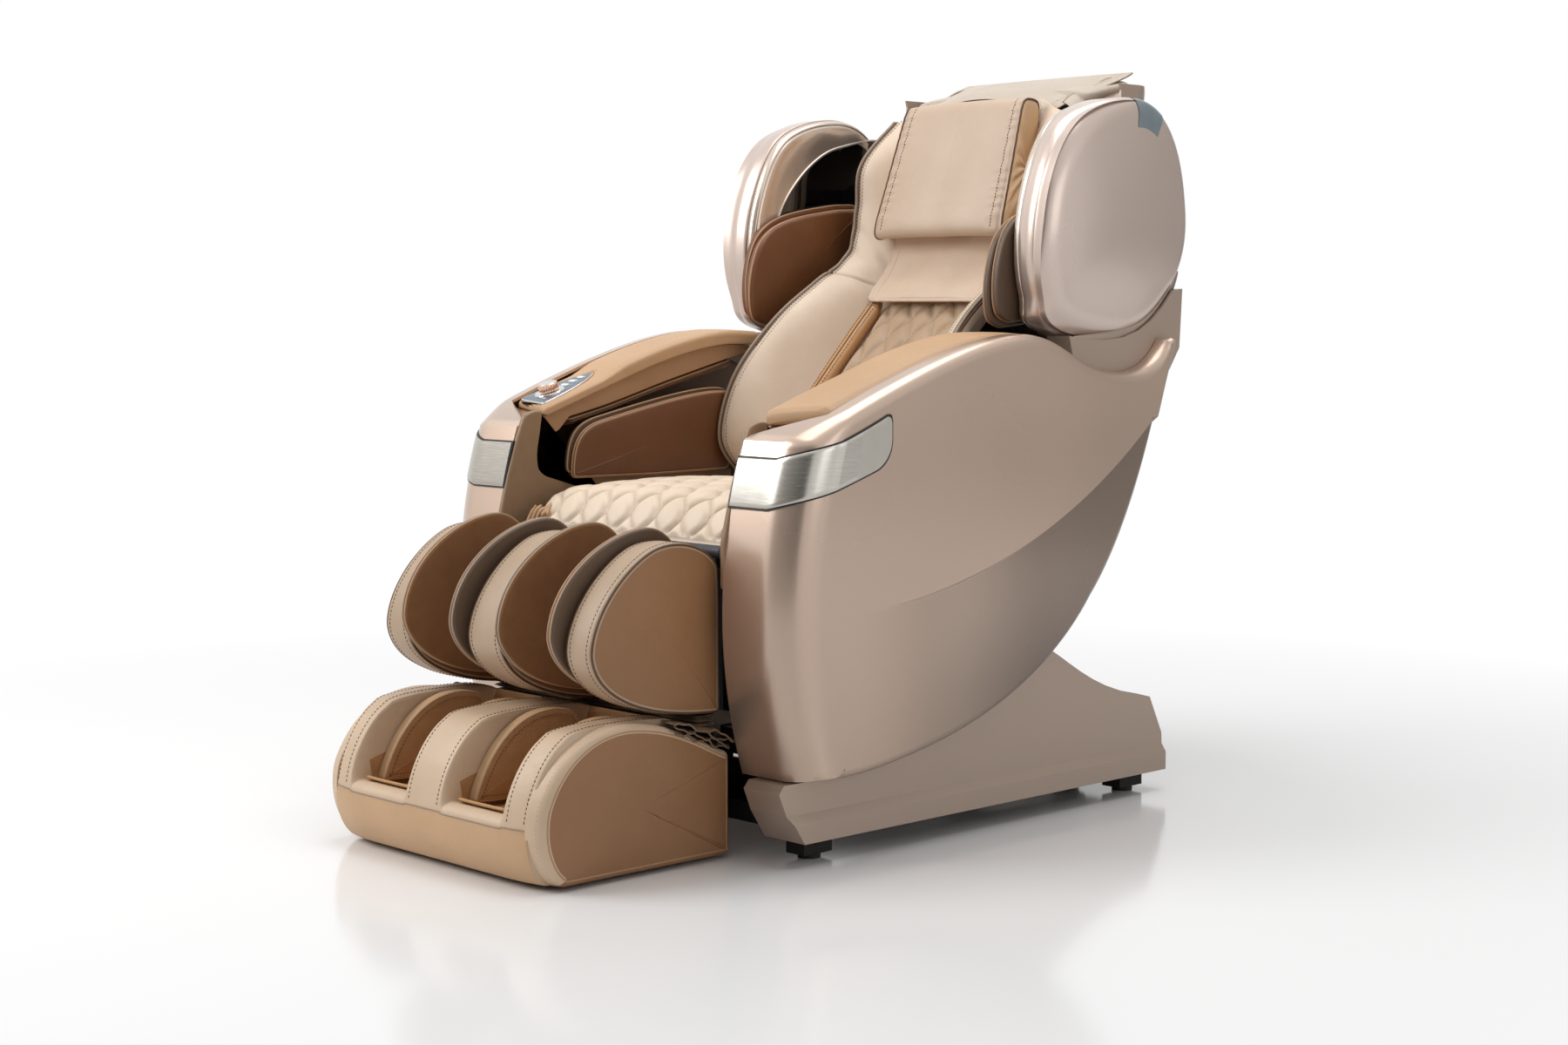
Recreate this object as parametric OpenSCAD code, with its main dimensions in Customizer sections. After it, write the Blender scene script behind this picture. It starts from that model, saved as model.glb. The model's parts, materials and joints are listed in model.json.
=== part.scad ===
// Massage chair: base, tilting seat with arm housings, reclining back, leg rest and foot rest.
// Millimetres. +X is the viewer's right when facing the chair, -Y is the front, +Z is up.
// Shapes are drawn with y = 0 at the arm housings' front edge; at() moves them to the frame
// whose origin is the middle of the chair's footprint.

/* [Overall] */
// Clear width between the inner faces of the two arm housings
seat_gap = 540; // [520:2:580]
// Width of one arm housing
arm_w = 140; // [130:2:160]
// Reach of the foot rest in front of the arm housings
front_reach = 378; // [360:2:400]
// Reach of the back rest's top behind the arm housings' front edge
rear_reach = 1000; // [980:2:1020]

/* [Base] */
// Half width of the base side covers
base_half = 375; // [360:1:380]
// Height of the rubber feet
foot_h = 35; // [25:1:40]
// Depth of the base from front to rear
base_len = 866; // [840:2:890]
// Height of the base heel behind the seat
heel_z = 169; // [150:1:180]
// Width of each base side box
side_box_w = 75; // [70:1:80]
// Wall of the base mouldings
base_wall = 4; // [3:0.5:5]
// Radius of the transport wheels
wheel_r = 30; // [26:1:31]

/* [Seat] */
// Height of the tilt pivot above the floor
tilt_z = 395; // [380:1:405]
// Distance of the tilt pivot behind the arm front
tilt_y = 440; // [420:2:460]
// Radius of the tilt shaft
tilt_r = 15; // [12:1:18]
// Running clearance of the shafts, on the radius
fit = 0.05; // [0.02:0.01:0.1]
// Height of the seat cushion's top at its edge
seat_z = 520; // [505:1:530]
// Rise of the seat cushion's crown
seat_crown = 16; // [8:1:24]
// Thickness of the seat cushion at its edge
seat_t = 76; // [60:1:78]
// Depth of the seat cushion
seat_depth = 430; // [400:2:436]

/* [Arms] */
// Height of the arm housing's crest
arm_top = 768; // [750:1:790]
// Height of the lowest edge of the arm housing
arm_low = 126; // [115:1:135]
// Wall of the arm and head mouldings
shell_wall = 5; // [4:0.5:7]
// Plan radius of the arm housing's front corner
corner_r = 62; // [40:1:66]
// Rounding of the arm housing's other rims
rim_r = 22; // [14:1:28]
// Depth of the turned-in lower rim of the arm housing
rim_depth = 15; // [12:1:16]
// Height of the bright band round the front of the arm
band_h = 70; // [50:1:74]
// Thickness of the bright band
band_t = 1.6; // [1:0.1:3]
// Width of the armrest pad
armrest_w = 112; // [100:1:118]
// Thickness of the armrest pad
armrest_t = 24; // [18:1:28]

/* [Back rest] */
// Height of the back rest's hinge
recline_z = 420; // [410:1:430]
// Distance of the back rest's hinge behind the arm front
recline_y = 610; // [600:1:620]
// Radius of the back rest's hinge shaft
recline_r = 10; // [8:1:12]
// Half width of the back cushion's side wings
wing_half = 240; // [225:1:242]
// Half width of the quilted centre panel
quilt_half = 104; // [90:1:112]
// Half width of the rear cover
rear_half = 250; // [235:1:256]
// Thickness of the quilted centre panel
quilt_t = 12; // [8:1:16]
// Half width of the pillow at its foot
pillow_half = 148; // [130:1:160]

/* [Head pods] */
// Inner face of the head pods, from the middle
pod_in = 300; // [296:1:308]
// Outer face of the head pods, from the middle
pod_out = 392; // [380:1:393]
// Rounding of the head pods' rim
pod_r = 34; // [20:1:40]

/* [Massage mechanism] */
// Lean of the guide rails from the vertical
rail_lean = 25; // [22:1:28]
// Length of the guide rails
rail_len = 470; // [440:2:500]
// Distance between the guide rails' inner faces
rail_gap = 236; // [220:2:250]
// Radius of the kneading rollers
roller_r = 22; // [16:1:25]

/* [Leg rest] */
// Height of the leg rest's hinge
leg_z = 452; // [448:1:456]
// Distance of the leg rest's hinge behind the arm front
leg_y = -14; // [-18:1:-12]
// Radius of the leg rest's hinge shaft
leg_r = 7; // [5:1:8]
// Half width of the leg rest
leg_half = 252; // [240:1:253]
// Width of each outer calf pad
calf_w = 60; // [50:1:66]
// Half width of the middle calf pad
calf_mid = 44; // [36:1:48]
// Thickness of each calf airbag wing
calf_bag_t = 14; // [10:1:18]

/* [Foot rest] */
// Half width of the foot rest
foot_half = 262; // [250:1:264]
// Thickness of each foot rest side pad
foot_pad_t = 26; // [18:1:32]
// Height of the foot rest above the floor
foot_gap = 7; // [6:0.5:10]
// Inner side of the foot wells, from the middle
well_in = 46; // [38:1:54]
// Outer side of the foot wells, from the middle
well_out = 184; // [170:1:194]
// Radius of the foot rollers
foot_roller_r = 20; // [14:1:22]

/* [Console] */
// Radius of the dial's knob
knob_r = 17; // [13:1:20]
// Height of the dial's knob
knob_h = 14; // [10:1:18]
// Travel of the keys
key_travel = 1.5; // [1:0.1:2.5]

/* [Hidden] */
$fn = 48;

gap = 0.3;                            // clearance between neighbouring pieces
gap_x = seat_gap / 2;                 // inner face of the arm housings
arm_x = gap_x + arm_w;                // outer face of the arm housings
centre_y = (rear_reach - front_reach) / 2;
frame_x = gap_x - 8;                  // outer face of the seat rails
rail_w = 24;                          // width of the seat rails
rail_z = tilt_z + 5;                  // top of the seat rails
rail_h = 40;                          // height of the seat rails
side_in = base_half - side_box_w;     // inner wall of the base side boxes

// ---- curves -------------------------------------------------------------------------------

// Points of one cubic curve, without its end point
function bez(p, n) = [for (i = [0:n - 1]) let (t = i / n, s = 1 - t)
    s*s*s * p[0] + 3*s*s*t * p[1] + 3*s*t*t * p[2] + t*t*t * p[3]];
// Points of an arc from angle a0 to a1
function arc(c, r, a0, a1, n) = [for (i = [0:n]) let (a = a0 + (a1 - a0) * i / n)
    [c[0] + r * cos(a), c[1] + r * sin(a)]];
// A smooth curve through key points, at parameter u from 0 to 1
function knot(k, i) = k[max(0, min(len(k) - 1, i))];
function through(k, u) = let (f = u * (len(k) - 1), i = min(floor(f), len(k) - 2), t = f - i,
    a = knot(k, i - 1), b = knot(k, i), c = knot(k, i + 1), d = knot(k, i + 2))
    0.5 * (2 * b + t * (c - a) + t*t * (2*a - 5*b + 4*c - d) + t*t*t * (3*b - a - 3*c + d));
// Unit normal to the left of a closed outline at point i
function unit(v) = v / max(norm(v), 1e-6);
function left_of(o, i) = let (n = len(o), d = unit(o[(i + 1) % n] - o[(i + n - 1) % n]))
    [-d[1], d[0]];
// Outline moved inwards by d; the outline runs anticlockwise
function inset(o, d) = [for (i = [0:len(o) - 1]) o[i] + d * left_of(o, i)];
function mean(o) = [for (k = [0:len(o[0]) - 1]) [for (p = o) 1] * [for (p = o) p[k]] / len(o)];
// Outline shrunk towards its middle to the share f
function shrunk(o, f) = let (m = mean(o)) [for (p = o) m + f * (p - m)];
// Outline in the Y-Z plane stood up at x
function at_x(o, x) = [for (p = o) [x, p[0], p[1]]];
function smooth(t) = let (u = max(0, min(1, t))) u * u * (3 - 2 * u);

// Triangles over a closed ring of n points from number b on, in rungs from side to side
function rungs(n, b) = [for (i = [0:ceil(n / 2) - 1]) let (p = i + 1, q = n - 2 - i)
    each p < q ? [[b + i, b + p, b + q], [b + i, b + q, b + n - 1 - i]]
        : p == q ? [[b + i, b + p, b + n - 1 - i]] : []];
function back(f) = [for (i = [len(f) - 1:-1:0]) f[i]];
function skin(n, m) = [for (i = [0:m - 2], j = [0:n - 1]) let (a = i * n + j, b = i * n + (j + 1) % n)
    each [[a, a + n, b + n], [a, b + n, b]]];
// Closed solid through rings of equally many points, in triangles; a ring runs anticlockwise
// as seen from the last ring's side, unless flip is set
module loft(rings, flip = false) {
    n = len(rings[0]);
    m = len(rings);
    faces = concat(skin(n, m), rungs(n, 0), [for (f = rungs(n, (m - 1) * n)) back(f)]);
    polyhedron(points = [for (r = rings) each r], faces = flip ? [for (f = faces) back(f)] : faces);
}
// Rings of a pad between x0 and x1: rounded rims r0 and r1, faces crowned by b0 and b1
function pad_rings(o, x0, x1, r0, r1, b0, b1, k = 2) = concat(
    b0 > 0 ? [at_x(shrunk(inset(o, r0), 0.55), x0 - b0)] : [],
    [for (i = [0:k]) let (a = 90 * i / k) at_x(inset(o, r0 * (1 - sin(a))), x0 + r0 * (1 - cos(a)))],
    [for (i = [k:-1:0]) let (a = 90 * i / k)
        at_x(inset(o, r1 * (1 - sin(a))), x1 - r1 * (1 - cos(a)))],
    b1 > 0 ? [at_x(shrunk(inset(o, r1), 0.55), x1 + b1)] : []);
// Rings of an open shell: the outline's points move by v towards the closed face at x1[j],
// whose rounding is r[j] deep; the open rim of point j starts at rim[j]
function cup_ring(o, v, x, f, g) = [for (j = [0:len(o) - 1]) let (q = o[j] + f * v[j] + g * unit(v[j]))
    [x[j], q[0], q[1]]];
function cup_rings(o, v, rim, x1, r, wall, k = 4) = concat(
    [cup_ring(o, v, [for (x = x1) x - wall], 1, 0),
     cup_ring(o, v, [for (j = [0:len(o) - 1]) x1[j] - 0.29 * r[j] - 0.7 * wall], 0.29, wall * 0.7),
     cup_ring(o, v, x1 - r, 0, wall), cup_ring(o, v, rim, 0, wall), cup_ring(o, v, rim, 0, 0)],
    [for (i = [0:k]) let (a = 90 * i / k)
        cup_ring(o, v, [for (j = [0:len(o) - 1]) x1[j] - r[j] * (1 - sin(a))], 1 - cos(a), 0)]);

module at() translate([0, -centre_y, 0]) children();
module both() { children(); mirror([1, 0, 0]) children(); }
module side(s) mirror([s < 0 ? 1 : 0, 0, 0]) children();
// Prism of a Y-Z outline between x0 and x1
module slab(x0, x1) translate([x0, 0, 0]) rotate([90, 0, 90]) linear_extrude(x1 - x0) children();
module rod(x0, x1, r, p) translate([x0, p[0], p[1]]) rotate([0, 90, 0]) cylinder(h = x1 - x0, r = r);
// Box between two corners
module box(a, b) translate(a) cube(b - a);

// ---- base ---------------------------------------------------------------------------------

base_front = -22;                     // the base's front edge leans forward
flange = 10;                          // how far the foot of the base stands out
rear_y = base_len;
tray_y = [480, 740];                  // where the cross tubes lie
tube_w = 40;                          // cross tube
tube_h = 30;
tube_z = foot_h + 3;
wheel_y = rear_y - wheel_r - 8;
wheel_x = 200;
plate_x = base_half - 45;             // inner face of the tilt uprights
plate_t = 12;
heel_front = 700;

function base_outline(d) = concat(
    [[20 + d, foot_h], [base_front + 14 + d, 78], [base_front + d, 112],
     [base_front + 10 + d, arm_low - 2 - d], [84 + d, arm_low - 2 - d], [94 + d, 150 - d]],
    bez([[150, 165 - d], [330, 200 - d], [460, 262 - d], [560, 274 - d]], 5),
    bez([[560, 274 - d], [620, 250 - d], [680, 190 - d], [rear_y - 65, heel_z - d]], 8),
    [[rear_y - 65, heel_z - d], [rear_y - 30, heel_z - 9 - d], [rear_y - d, 96], [rear_y - d, foot_h]]);

module base_section(w, f) polygon([[-w - f, foot_h - 1], [w + f, foot_h - 1], [w + f, foot_h + 30],
    [w + 1, foot_h + 43], [w - 7, 300], [7 - w, 300], [-w - 1, foot_h + 43], [-w - f, foot_h + 30]]);

module base_cover() at() color("#b9a596") difference() {
    intersection() {
        slab(-base_half - flange, base_half + flange) polygon(base_outline(0));
        translate([0, rear_y + 1, 0]) rotate([90, 0, 0]) linear_extrude(rear_y + 60)
            base_section(base_half, flange);
        union() {
            both() box([side_in, -60, 0], [base_half + flange, rear_y, 320]);
            box([-base_half, heel_front, 0], [base_half, rear_y, 320]);
        }
    }
    // hollow inside, open below
    intersection() {
        slab(-base_half, base_half) polygon(concat([[20 + base_wall, -1]], base_outline(base_wall),
            [[rear_y - base_wall, -1]]));
        union() {
            both() box([side_in + base_wall, -60, -1], [base_half - 9, rear_y, 320]);
            box([10 - base_half, heel_front + base_wall, -1], [base_half - 10, rear_y, 320]);
        }
    }
    // ways for the cross tubes and slots for the tilt uprights
    for (y = tray_y) box([-side_in - base_wall - 1, y - 3, -1],
        [side_in + base_wall + 1, y + tube_w + 3, tube_z + tube_h + 3]);
    box([-side_in - base_wall - 1, 57, -1], [side_in + base_wall + 1, 103, tube_z + tube_h + 3]);
    both() box([plate_x - 4, 300, 150], [plate_x + plate_t + 4, 590, 330]);
    box([-244, heel_front - 1, -1], [244, heel_front + base_wall + 1, tube_z + tube_h + 6]);
    // inlet opening
    box([-282, rear_y - 20, 72], [-218, rear_y + 1, 118]);
}

module upright() polygon(concat([[330, tube_z + tube_h - 1], [560, tube_z + tube_h - 1]],
    arc([tilt_y, tilt_z], tilt_r + 20, -10, 190, 16)));

module base_frame() at() color("#3a3a3c") {
    difference() {
        union() {
            both() box([plate_x - 18, 50, tube_z], [plate_x + 22, rear_y - 20, tube_z + tube_h]);
            // tabs that the side covers screw to
            both() for (y = [120, 360, 640])
                box([plate_x + 21, y, tube_z], [base_half - 9 - gap, y + 24, tube_z + 5]);
            for (y = concat([60], tray_y))
                box([-plate_x + 10, y, tube_z], [plate_x - 10, y + tube_w, tube_z + tube_h]);
            box([-240, tray_y[0], tube_z + tube_h - 1], [240, tray_y[1] + tube_w, tube_z + tube_h + 3]);
            both() slab(plate_x, plate_x + plate_t) upright();
            // journal bosses and wheel ears
            both() rod(plate_x - 6, plate_x + plate_t + 6, tilt_r + 9, [tilt_y, tilt_z]);
            both() hull() {
                rod(wheel_x + 26, wheel_x + 34, 14, [wheel_y, wheel_r + 5]);
                box([wheel_x + 26, tray_y[1] + 4, tube_z], [wheel_x + 34, tray_y[1] + 14, tube_z + tube_h]);
            }
        }
        both() rod(plate_x - 20, plate_x + plate_t + 20, tilt_r + fit, [tilt_y, tilt_z]);
        both() rod(wheel_x + 10, wheel_x + 50, 6 + fit, [wheel_y, wheel_r + 5]);
    }
}

module base_feet() at() color("#1c1b1b") both() for (y = [50, rear_y - 80])
    translate([plate_x + 2, y + 30, 0]) {
        translate([0, 0, 8]) linear_extrude(tube_z - 8) square([38, 58], center = true);
        cylinder(h = 8.01, r = 17);
    }

module control_box() at() color("#4a4c50") translate([-110, 560, tube_z + tube_h + 3 + gap]) {
    difference() {
        cube([180, 130, 58]);
        for (i = [0:6]) translate([18 + i * 22, -1, 14]) cube([6, 3, 32]);
    }
    for (x = [12, 156]) translate([x, -10, 0]) cube([12, 10.01, 3]);
}

module air_pump() at() color("#6a6d70") translate([120, 560, tube_z + tube_h + 3 + gap]) {
    cube([90, 120, 34]);
    for (y = [30, 90]) translate([45, y, 33.9]) {
        cylinder(h = 26, r = 24);
        translate([0, 0, 26]) cylinder(h = 6, r = 7);
    }
    translate([89.9, 60, 17]) rotate([0, 90, 0]) cylinder(h = 14, r = 6);
}

module recess_panel() at() color("#151515")
    difference() {
        box([-side_in + gap, 104, tube_z], [side_in - gap, 110, 146]);
        for (x = [-210:60:210]) box([x - 16, 100, 120], [x + 16, 112, 126]);
    }

module inlet_plate() at() color("#161616") difference() {
    union() {
        box([-286, rear_y, 68], [-214, rear_y + 2.5, 122]);
        box([-281, rear_y - 24, 73], [-219, rear_y + 0.1, 117]);
    }
    box([-276, rear_y - 18, 80], [-249, rear_y + 3, 110]);            // socket
    box([-241, rear_y - 20, 83], [-225, rear_y + 3, 107]);            // switch well
    translate([-248, rear_y - 12, 95]) rotate([0, 90, 0]) cylinder(h = 26, r = 1.5 + fit);
}

module power_switch() at() color("#8c1d1d") translate([-233, rear_y - 12, 95]) {
    rotate([90, 0, 90]) translate([0, 0, -7]) linear_extrude(14)
        polygon([[-5, -6], [3, -9], [11.5, -8.6], [10.5, 0], [13.5, 8.6], [3, 9], [-5, 6]]);
    rotate([0, 90, 0]) translate([0, 0, -9.5]) cylinder(h = 19, r = 1.5);
}

module transport_wheels() at() color("#242424") {
    both() translate([wheel_x - 14, wheel_y, wheel_r + 5]) rotate([0, 90, 0]) rotate_extrude()
        polygon([[5.9, -2], [14, -2], [17, 6], [22, 6], [23, 0], [wheel_r - 3, 0], [wheel_r, 3],
            [wheel_r, 21], [wheel_r - 3, 24], [23, 24], [22, 18], [17, 18], [14, 26], [5.9, 26]]);
    rod(-wheel_x - 37, wheel_x + 37, 6, [wheel_y, wheel_r + 5]);
}

// ---- seat ---------------------------------------------------------------------------------

module seat_frame() at() color("#46474a") difference() {
    union() {
        both() {
            box([frame_x - rail_w, 12, rail_z - rail_h], [frame_x, recline_y + 30, rail_z]);
            // ears for the leg rest and the back rest
            slab(frame_x - 7, frame_x) polygon(concat([[60, rail_z - 8], [60, rail_z + 1]],
                arc([leg_y, leg_z], leg_r + 8, 45, 225, 12), [[12, rail_z - 8]]));
            slab(frame_x - 10, frame_x) polygon(concat([[recline_y + 30, rail_z - 1]],
                arc([recline_y, recline_z], recline_r + 9, -20, 200, 14),
                [[recline_y - 50, rail_z - 1]]));
        }
        for (y = [20, recline_y - 10])
            box([-frame_x + 1, y, rail_z - rail_h], [frame_x - 1, y + 30, rail_z - 4]);
        rod(-plate_x - plate_t - 8, plate_x + plate_t + 8, tilt_r, [tilt_y, tilt_z]);
        both() rod(frame_x - 1, frame_x + 12, tilt_r + 10, [tilt_y, tilt_z]);
    }
    both() rod(frame_x - 20, frame_x + 10, leg_r + fit, [leg_y, leg_z]);
    both() rod(frame_x - 20, frame_x + 10, recline_r + fit, [recline_y, recline_z]);
}

pan_x = frame_x - 10 - gap;
pan_top = seat_z - seat_t - gap;
module seat_pan() at() color("#2f2e30") difference() {
    box([-pan_x, 14, rail_z + gap], [pan_x, seat_rear, pan_top]);
    box([-pan_x + 16, 28, rail_z - 1], [pan_x - 16, seat_rear - 12, pan_top - 8]);
    box([-pan_x - 1, tilt_y - tilt_r - 3, rail_z - 1], [pan_x + 1, seat_rear + 1, tilt_z + tilt_r + 3]);
    for (y = [70:56:seat_rear - 60]) both()
        translate([110, y, rail_z]) linear_extrude(50) square([150, 18], center = true);
}

module seat_apron() at() color("#1f1e1e")
    box([-frame_x + rail_w + gap, 4, 215], [frame_x - rail_w - gap, 11.7, rail_z]);

seat_front = 8;
seat_rear = seat_front + seat_depth;
seat_half = frame_x - 20;
// Upper surface of the seat cushion: crowned, rolled over at the front, quilted in channels
function seat_top(u, v) = let (roll = 1 - pow(1 - min(1, v * 6), 2.4), side = 1 - pow(abs(u), 6))
    seat_z - seat_t + 6 + (seat_t - 6) * roll * (0.86 + 0.14 * side)
    + seat_crown * (1 - u * u) * sin(180 * min(1, v * 1.1)) * roll
    - 2.2 * (1 - abs(sin(180 * (v * 9 + abs(u) * 1.6)))) * side * roll;
function seat_side(v) = seat_half * (1 - 0.03 * pow(2 * v - 1, 2));
seat_n = 12;
module seat_cushion() at() color("#cbb093") loft([for (i = [0:17]) let (v = i / 17,
        y = seat_front + seat_depth * v, w = seat_side(v), z0 = seat_z - seat_t) concat(
        [for (j = [0:seat_n]) let (u = 1 - 2 * j / seat_n) [u * w, y, seat_top(u, v)]],
        [for (j = [seat_n:-1:0]) let (u = 1 - 2 * j / seat_n)
            [u * (w - 10), y, z0 + 2 * pow(u, 8)]])], flip = true);

// ---- arm housings -------------------------------------------------------------------------

crease_d = 0.85 * shell_wall;         // depth of the form line at the rear
tip = [864, arm_top - 20];            // rear tip of the arm housing
crest = [479, arm_top];
notch = [735, arm_top - 63];          // saddle that the head pods sink into
heel = [652, 346];
band_z = 522;                         // lower edge of the bright band at the front
front_mid = 365;                      // the front face bows out to here
front_bow = 42;                        // how far it bows, over half its height
front_half = 247;
function front_y(z) = 6 - front_bow * (1 - pow((z - front_mid) / front_half, 2));
side_lower = bez([heel, heel + [108, 104], tip - [34, 108], tip], 9);

function arm_lower() = concat(
    [for (i = [0:4]) let (z = front_mid - (front_mid - arm_low) * i / 4) [front_y(z), z]],
    bez([[76, arm_low], [120, arm_low], [170, arm_low + 6], [231, arm_low + 17]], 2),
    bez([[231, arm_low + 17], [400, arm_low + 44], [560, 240], heel], 6),
    [for (i = [0:4]) side_lower[i]],
    [side_lower[5] - 3 * unit(side_lower[5] - side_lower[4])]);
function arm_upper() = concat(
    [for (i = [5:8]) side_lower[i]],
    arc(tip + [-9, 2], 10, -10, 120, 3),
    bez([tip + [-22, 9], [820, notch[1] + 23], [790, notch[1]], notch], 4),
    bez([notch, [610, notch[1]], [585, arm_top], crest], 6),
    bez([crest, [370, arm_top], [200, arm_top - 63], [76, arm_top - 113]], 7),
    [[76, arm_top - 113]],
    [for (i = [0:4]) let (z = arm_top - 150 - (arm_top - 150 - front_mid) * i / 5) [front_y(z), z]]);
arm_o = concat(arm_lower(), arm_upper());
arm_n = len(arm_o);
arm_nl = len(arm_lower());
arm_front = [for (j = [0:arm_n - 1]) j <= 4 || j >= arm_n - 5];
arm_top_rim = [for (j = [0:arm_n - 1]) j >= arm_nl + 12 && j < arm_n - 5];
// how far each outline point moves in towards the side face
arm_y0 = arm_o[0][0] + corner_r;      // the form line starts here, with no depth
function crease_x(y) = crease_d * (y - arm_y0) / (tip[0] - arm_y0);
arm_r = [for (j = [0:arm_n - 1]) arm_front[j] ? corner_r : arm_top_rim[j] ? rim_r
    : rim_depth - 1.5 - (j <= arm_nl ? crease_d : 0)];
arm_v = [for (j = [0:arm_n - 1]) arm_front[j]
    ? [corner_r, j == 4 ? arm_r[5] : j == arm_n - 5 ? -rim_r : 0]
    : min(1, 0.35 + norm(arm_o[j] - tip) / 90) * arm_r[j] * left_of(arm_o, j)];
arm_x1 = [for (j = [0:arm_n - 1]) arm_x - (j < arm_nl ? crease_x(arm_o[j][0] + arm_v[j][0]) : 0)];
arm_rim = [for (j = [0:arm_n - 1]) arm_front[j] ? gap_x
    : arm_top_rim[j] ? arm_x - 38 : arm_x - rim_depth - (j < arm_nl ? 0.5 : 0)];
crease_a = arm_o[0] + arm_v[0];
crease_b = arm_o[arm_nl] + arm_v[arm_nl];
crease_n = 10;
crease_line = bez([crease_a, [320, 362], [600, 455], crease_b], crease_n + 1);

module arm_shell_half() {
    rings = cup_rings(arm_o, arm_v, arm_rim, arm_x1, arm_r, shell_wall, 3);
    n = arm_n;
    m = len(rings);
    k = crease_n;
    line = [for (i = [1:k]) crease_line[i]];
    pts = concat([for (r = rings) each r],
        [for (d = [shell_wall, 0]) each concat([for (p = line) [arm_x - d, p[0], p[1]]],
            [for (p = line) [arm_x - d - crease_x(p[0]), p[0], p[1]]])]);
    // the side face on the ring from number b on, whose form line points start at q
    function side_faces(b, q) = let (up = [b, for (i = [0:k - 1]) q + i, b + arm_nl],
        low = [b, for (i = [0:k - 1]) q + k + i, b + arm_nl - 1])
        concat([concat(up, [for (j = [arm_nl + 1:n - 1]) b + j]),
                concat(back(low), [for (j = [1:arm_nl - 2]) b + j])],
            [for (i = [0:k]) each i == 0 ? [[up[0], low[1], up[1]]]
                : [[up[i], low[i], low[i + 1]], [up[i], low[i + 1], up[i + 1]]]]);
    polyhedron(points = pts, faces = concat(skin(n, m), side_faces(0, m * n),
        [for (f = side_faces((m - 1) * n, m * n + 2 * k)) back(f)]));
}
module arm_shell_left() at() color("#c9b3a4") side(-1) arm_shell_half();
module arm_shell_right() at() color("#c9b3a4") side(1) arm_shell_half();

// Bright band: across the front, round the corner and back along the side
band_side = 170;
function band_stations() = concat(
    [for (i = [0:2]) [gap_x + (arm_w - corner_r) * i / 2, 0, 0]],
    [for (i = [1:6]) let (a = 15 * i) [arm_x - corner_r + corner_r * sin(a), corner_r * (1 - cos(a)), 4 * i]],
    [for (i = [1:5]) [arm_x, corner_r + (band_side - corner_r - 24) * i / 5, 24 + 6 * i]]);
module arm_band() {
    st = band_stations();
    ends = [[arm_x, band_side - 8, 64, 60], [arm_x, band_side, 84, 46]];
    // one station: outer and inner face at the lower and the upper edge
    function sect(x, y, lo, h, dx, dy) = let (z0 = band_z + lo, z1 = band_z + lo + h,
        f0 = y < corner_r ? front_y(z0) : 0, f1 = y < corner_r ? front_y(z1) : 0)
        [[x, y + f0, z0], [x + dx, y + f0 + dy, z0], [x + dx, y + f1 + dy, z1], [x, y + f1, z1]];
    loft(concat(
        [for (s = st) let (a = s[0] <= arm_x - corner_r ? 0 : s[1] < corner_r
                ? acos(1 - s[1] / corner_r) : 90)
            sect(s[0], s[1], s[2], band_h, band_t * sin(a), -band_t * cos(a))],
        [for (e = ends) sect(e[0], e[1], e[2] - 4, e[3], band_t, 0)]), flip = true);
}
module arm_trims() at() color("#c8c8c6") both()
    translate([0.9, -0.15 - front_bow * pow(band_h / 2 / front_half, 2), 0]) arm_band();

pad_x = gap_x - 12;                   // inner edge of the armrest
rest_keys = [[56, 632], [177, 674], [327, 722], [446, 744], [538, 742]];
function rest_at(u) = through(rest_keys, u);
bag_keys = [[112, 620], [200, 640], [330, 676], [489, 716]];
bag_h = 11.5;                         // half thickness of the airbag

module arm_ledge() slab(gap_x - 5, arm_x - 39) polygon(concat(
    [[front_y(600) + shell_wall + 15, 595 + gap], [front_y(600) + shell_wall + 15, 611]],
    [for (i = [0:22]) rest_at(i / 22) - [0, 3 * gap]],
    [for (i = [10:-1:0]) through(bag_keys, i / 10) + [0, bag_h * sin(72) + gap]],
    [[90, 610], [60, 595 + gap]]));
module arm_ledges() at() color("#cdb9a2") both() arm_ledge();

module armrest_pad() loft([for (i = [0:11]) let (u = i / 11, p = rest_at(u), e = i == 0 || i == 11,
        b = e ? 4 : 0, w = armrest_w, t = armrest_t - (e ? 8 : 0), slant = 0.4 * max(0, 1 - u * 2.5),
        d = rest_at(min(1, u + 0.02)) - rest_at(max(0, u - 0.02)))
    [for (q = [[b, 0], [w - b, 0], [w, 4], [w, t * 0.62], [w - 14, t * 0.92], [w / 2, t],
            [14, t * 0.92], [0, t * 0.62], [0, 4]])
        [pad_x + q[0], p[0] + slant * q[0], p[1] + slant * q[0] * d[1] / d[0] + q[1] + b / 2]]], flip = true);
module armrest_right() at() color("#c19a6d") armrest_pad();
module armrest_left() at() color("#c19a6d") difference() {
    side(-1) armrest_pad();
    on_console() translate([-43, -80, -5 - gap]) cube([130, 182, 60]);
}
module arm_airbags() at() color("#b08a60") both() loft([for (i = [0:10]) let (u = i / 10,
        p = through(bag_keys, u), s = 0.45 + 0.55 * pow(sin(180 * u), 0.4))
    [for (a = [0:36:324]) [gap_x + 56 + 54 * cos(a) * s, p[0], p[1] + bag_h * sin(a) * s]]], flip = true);

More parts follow.
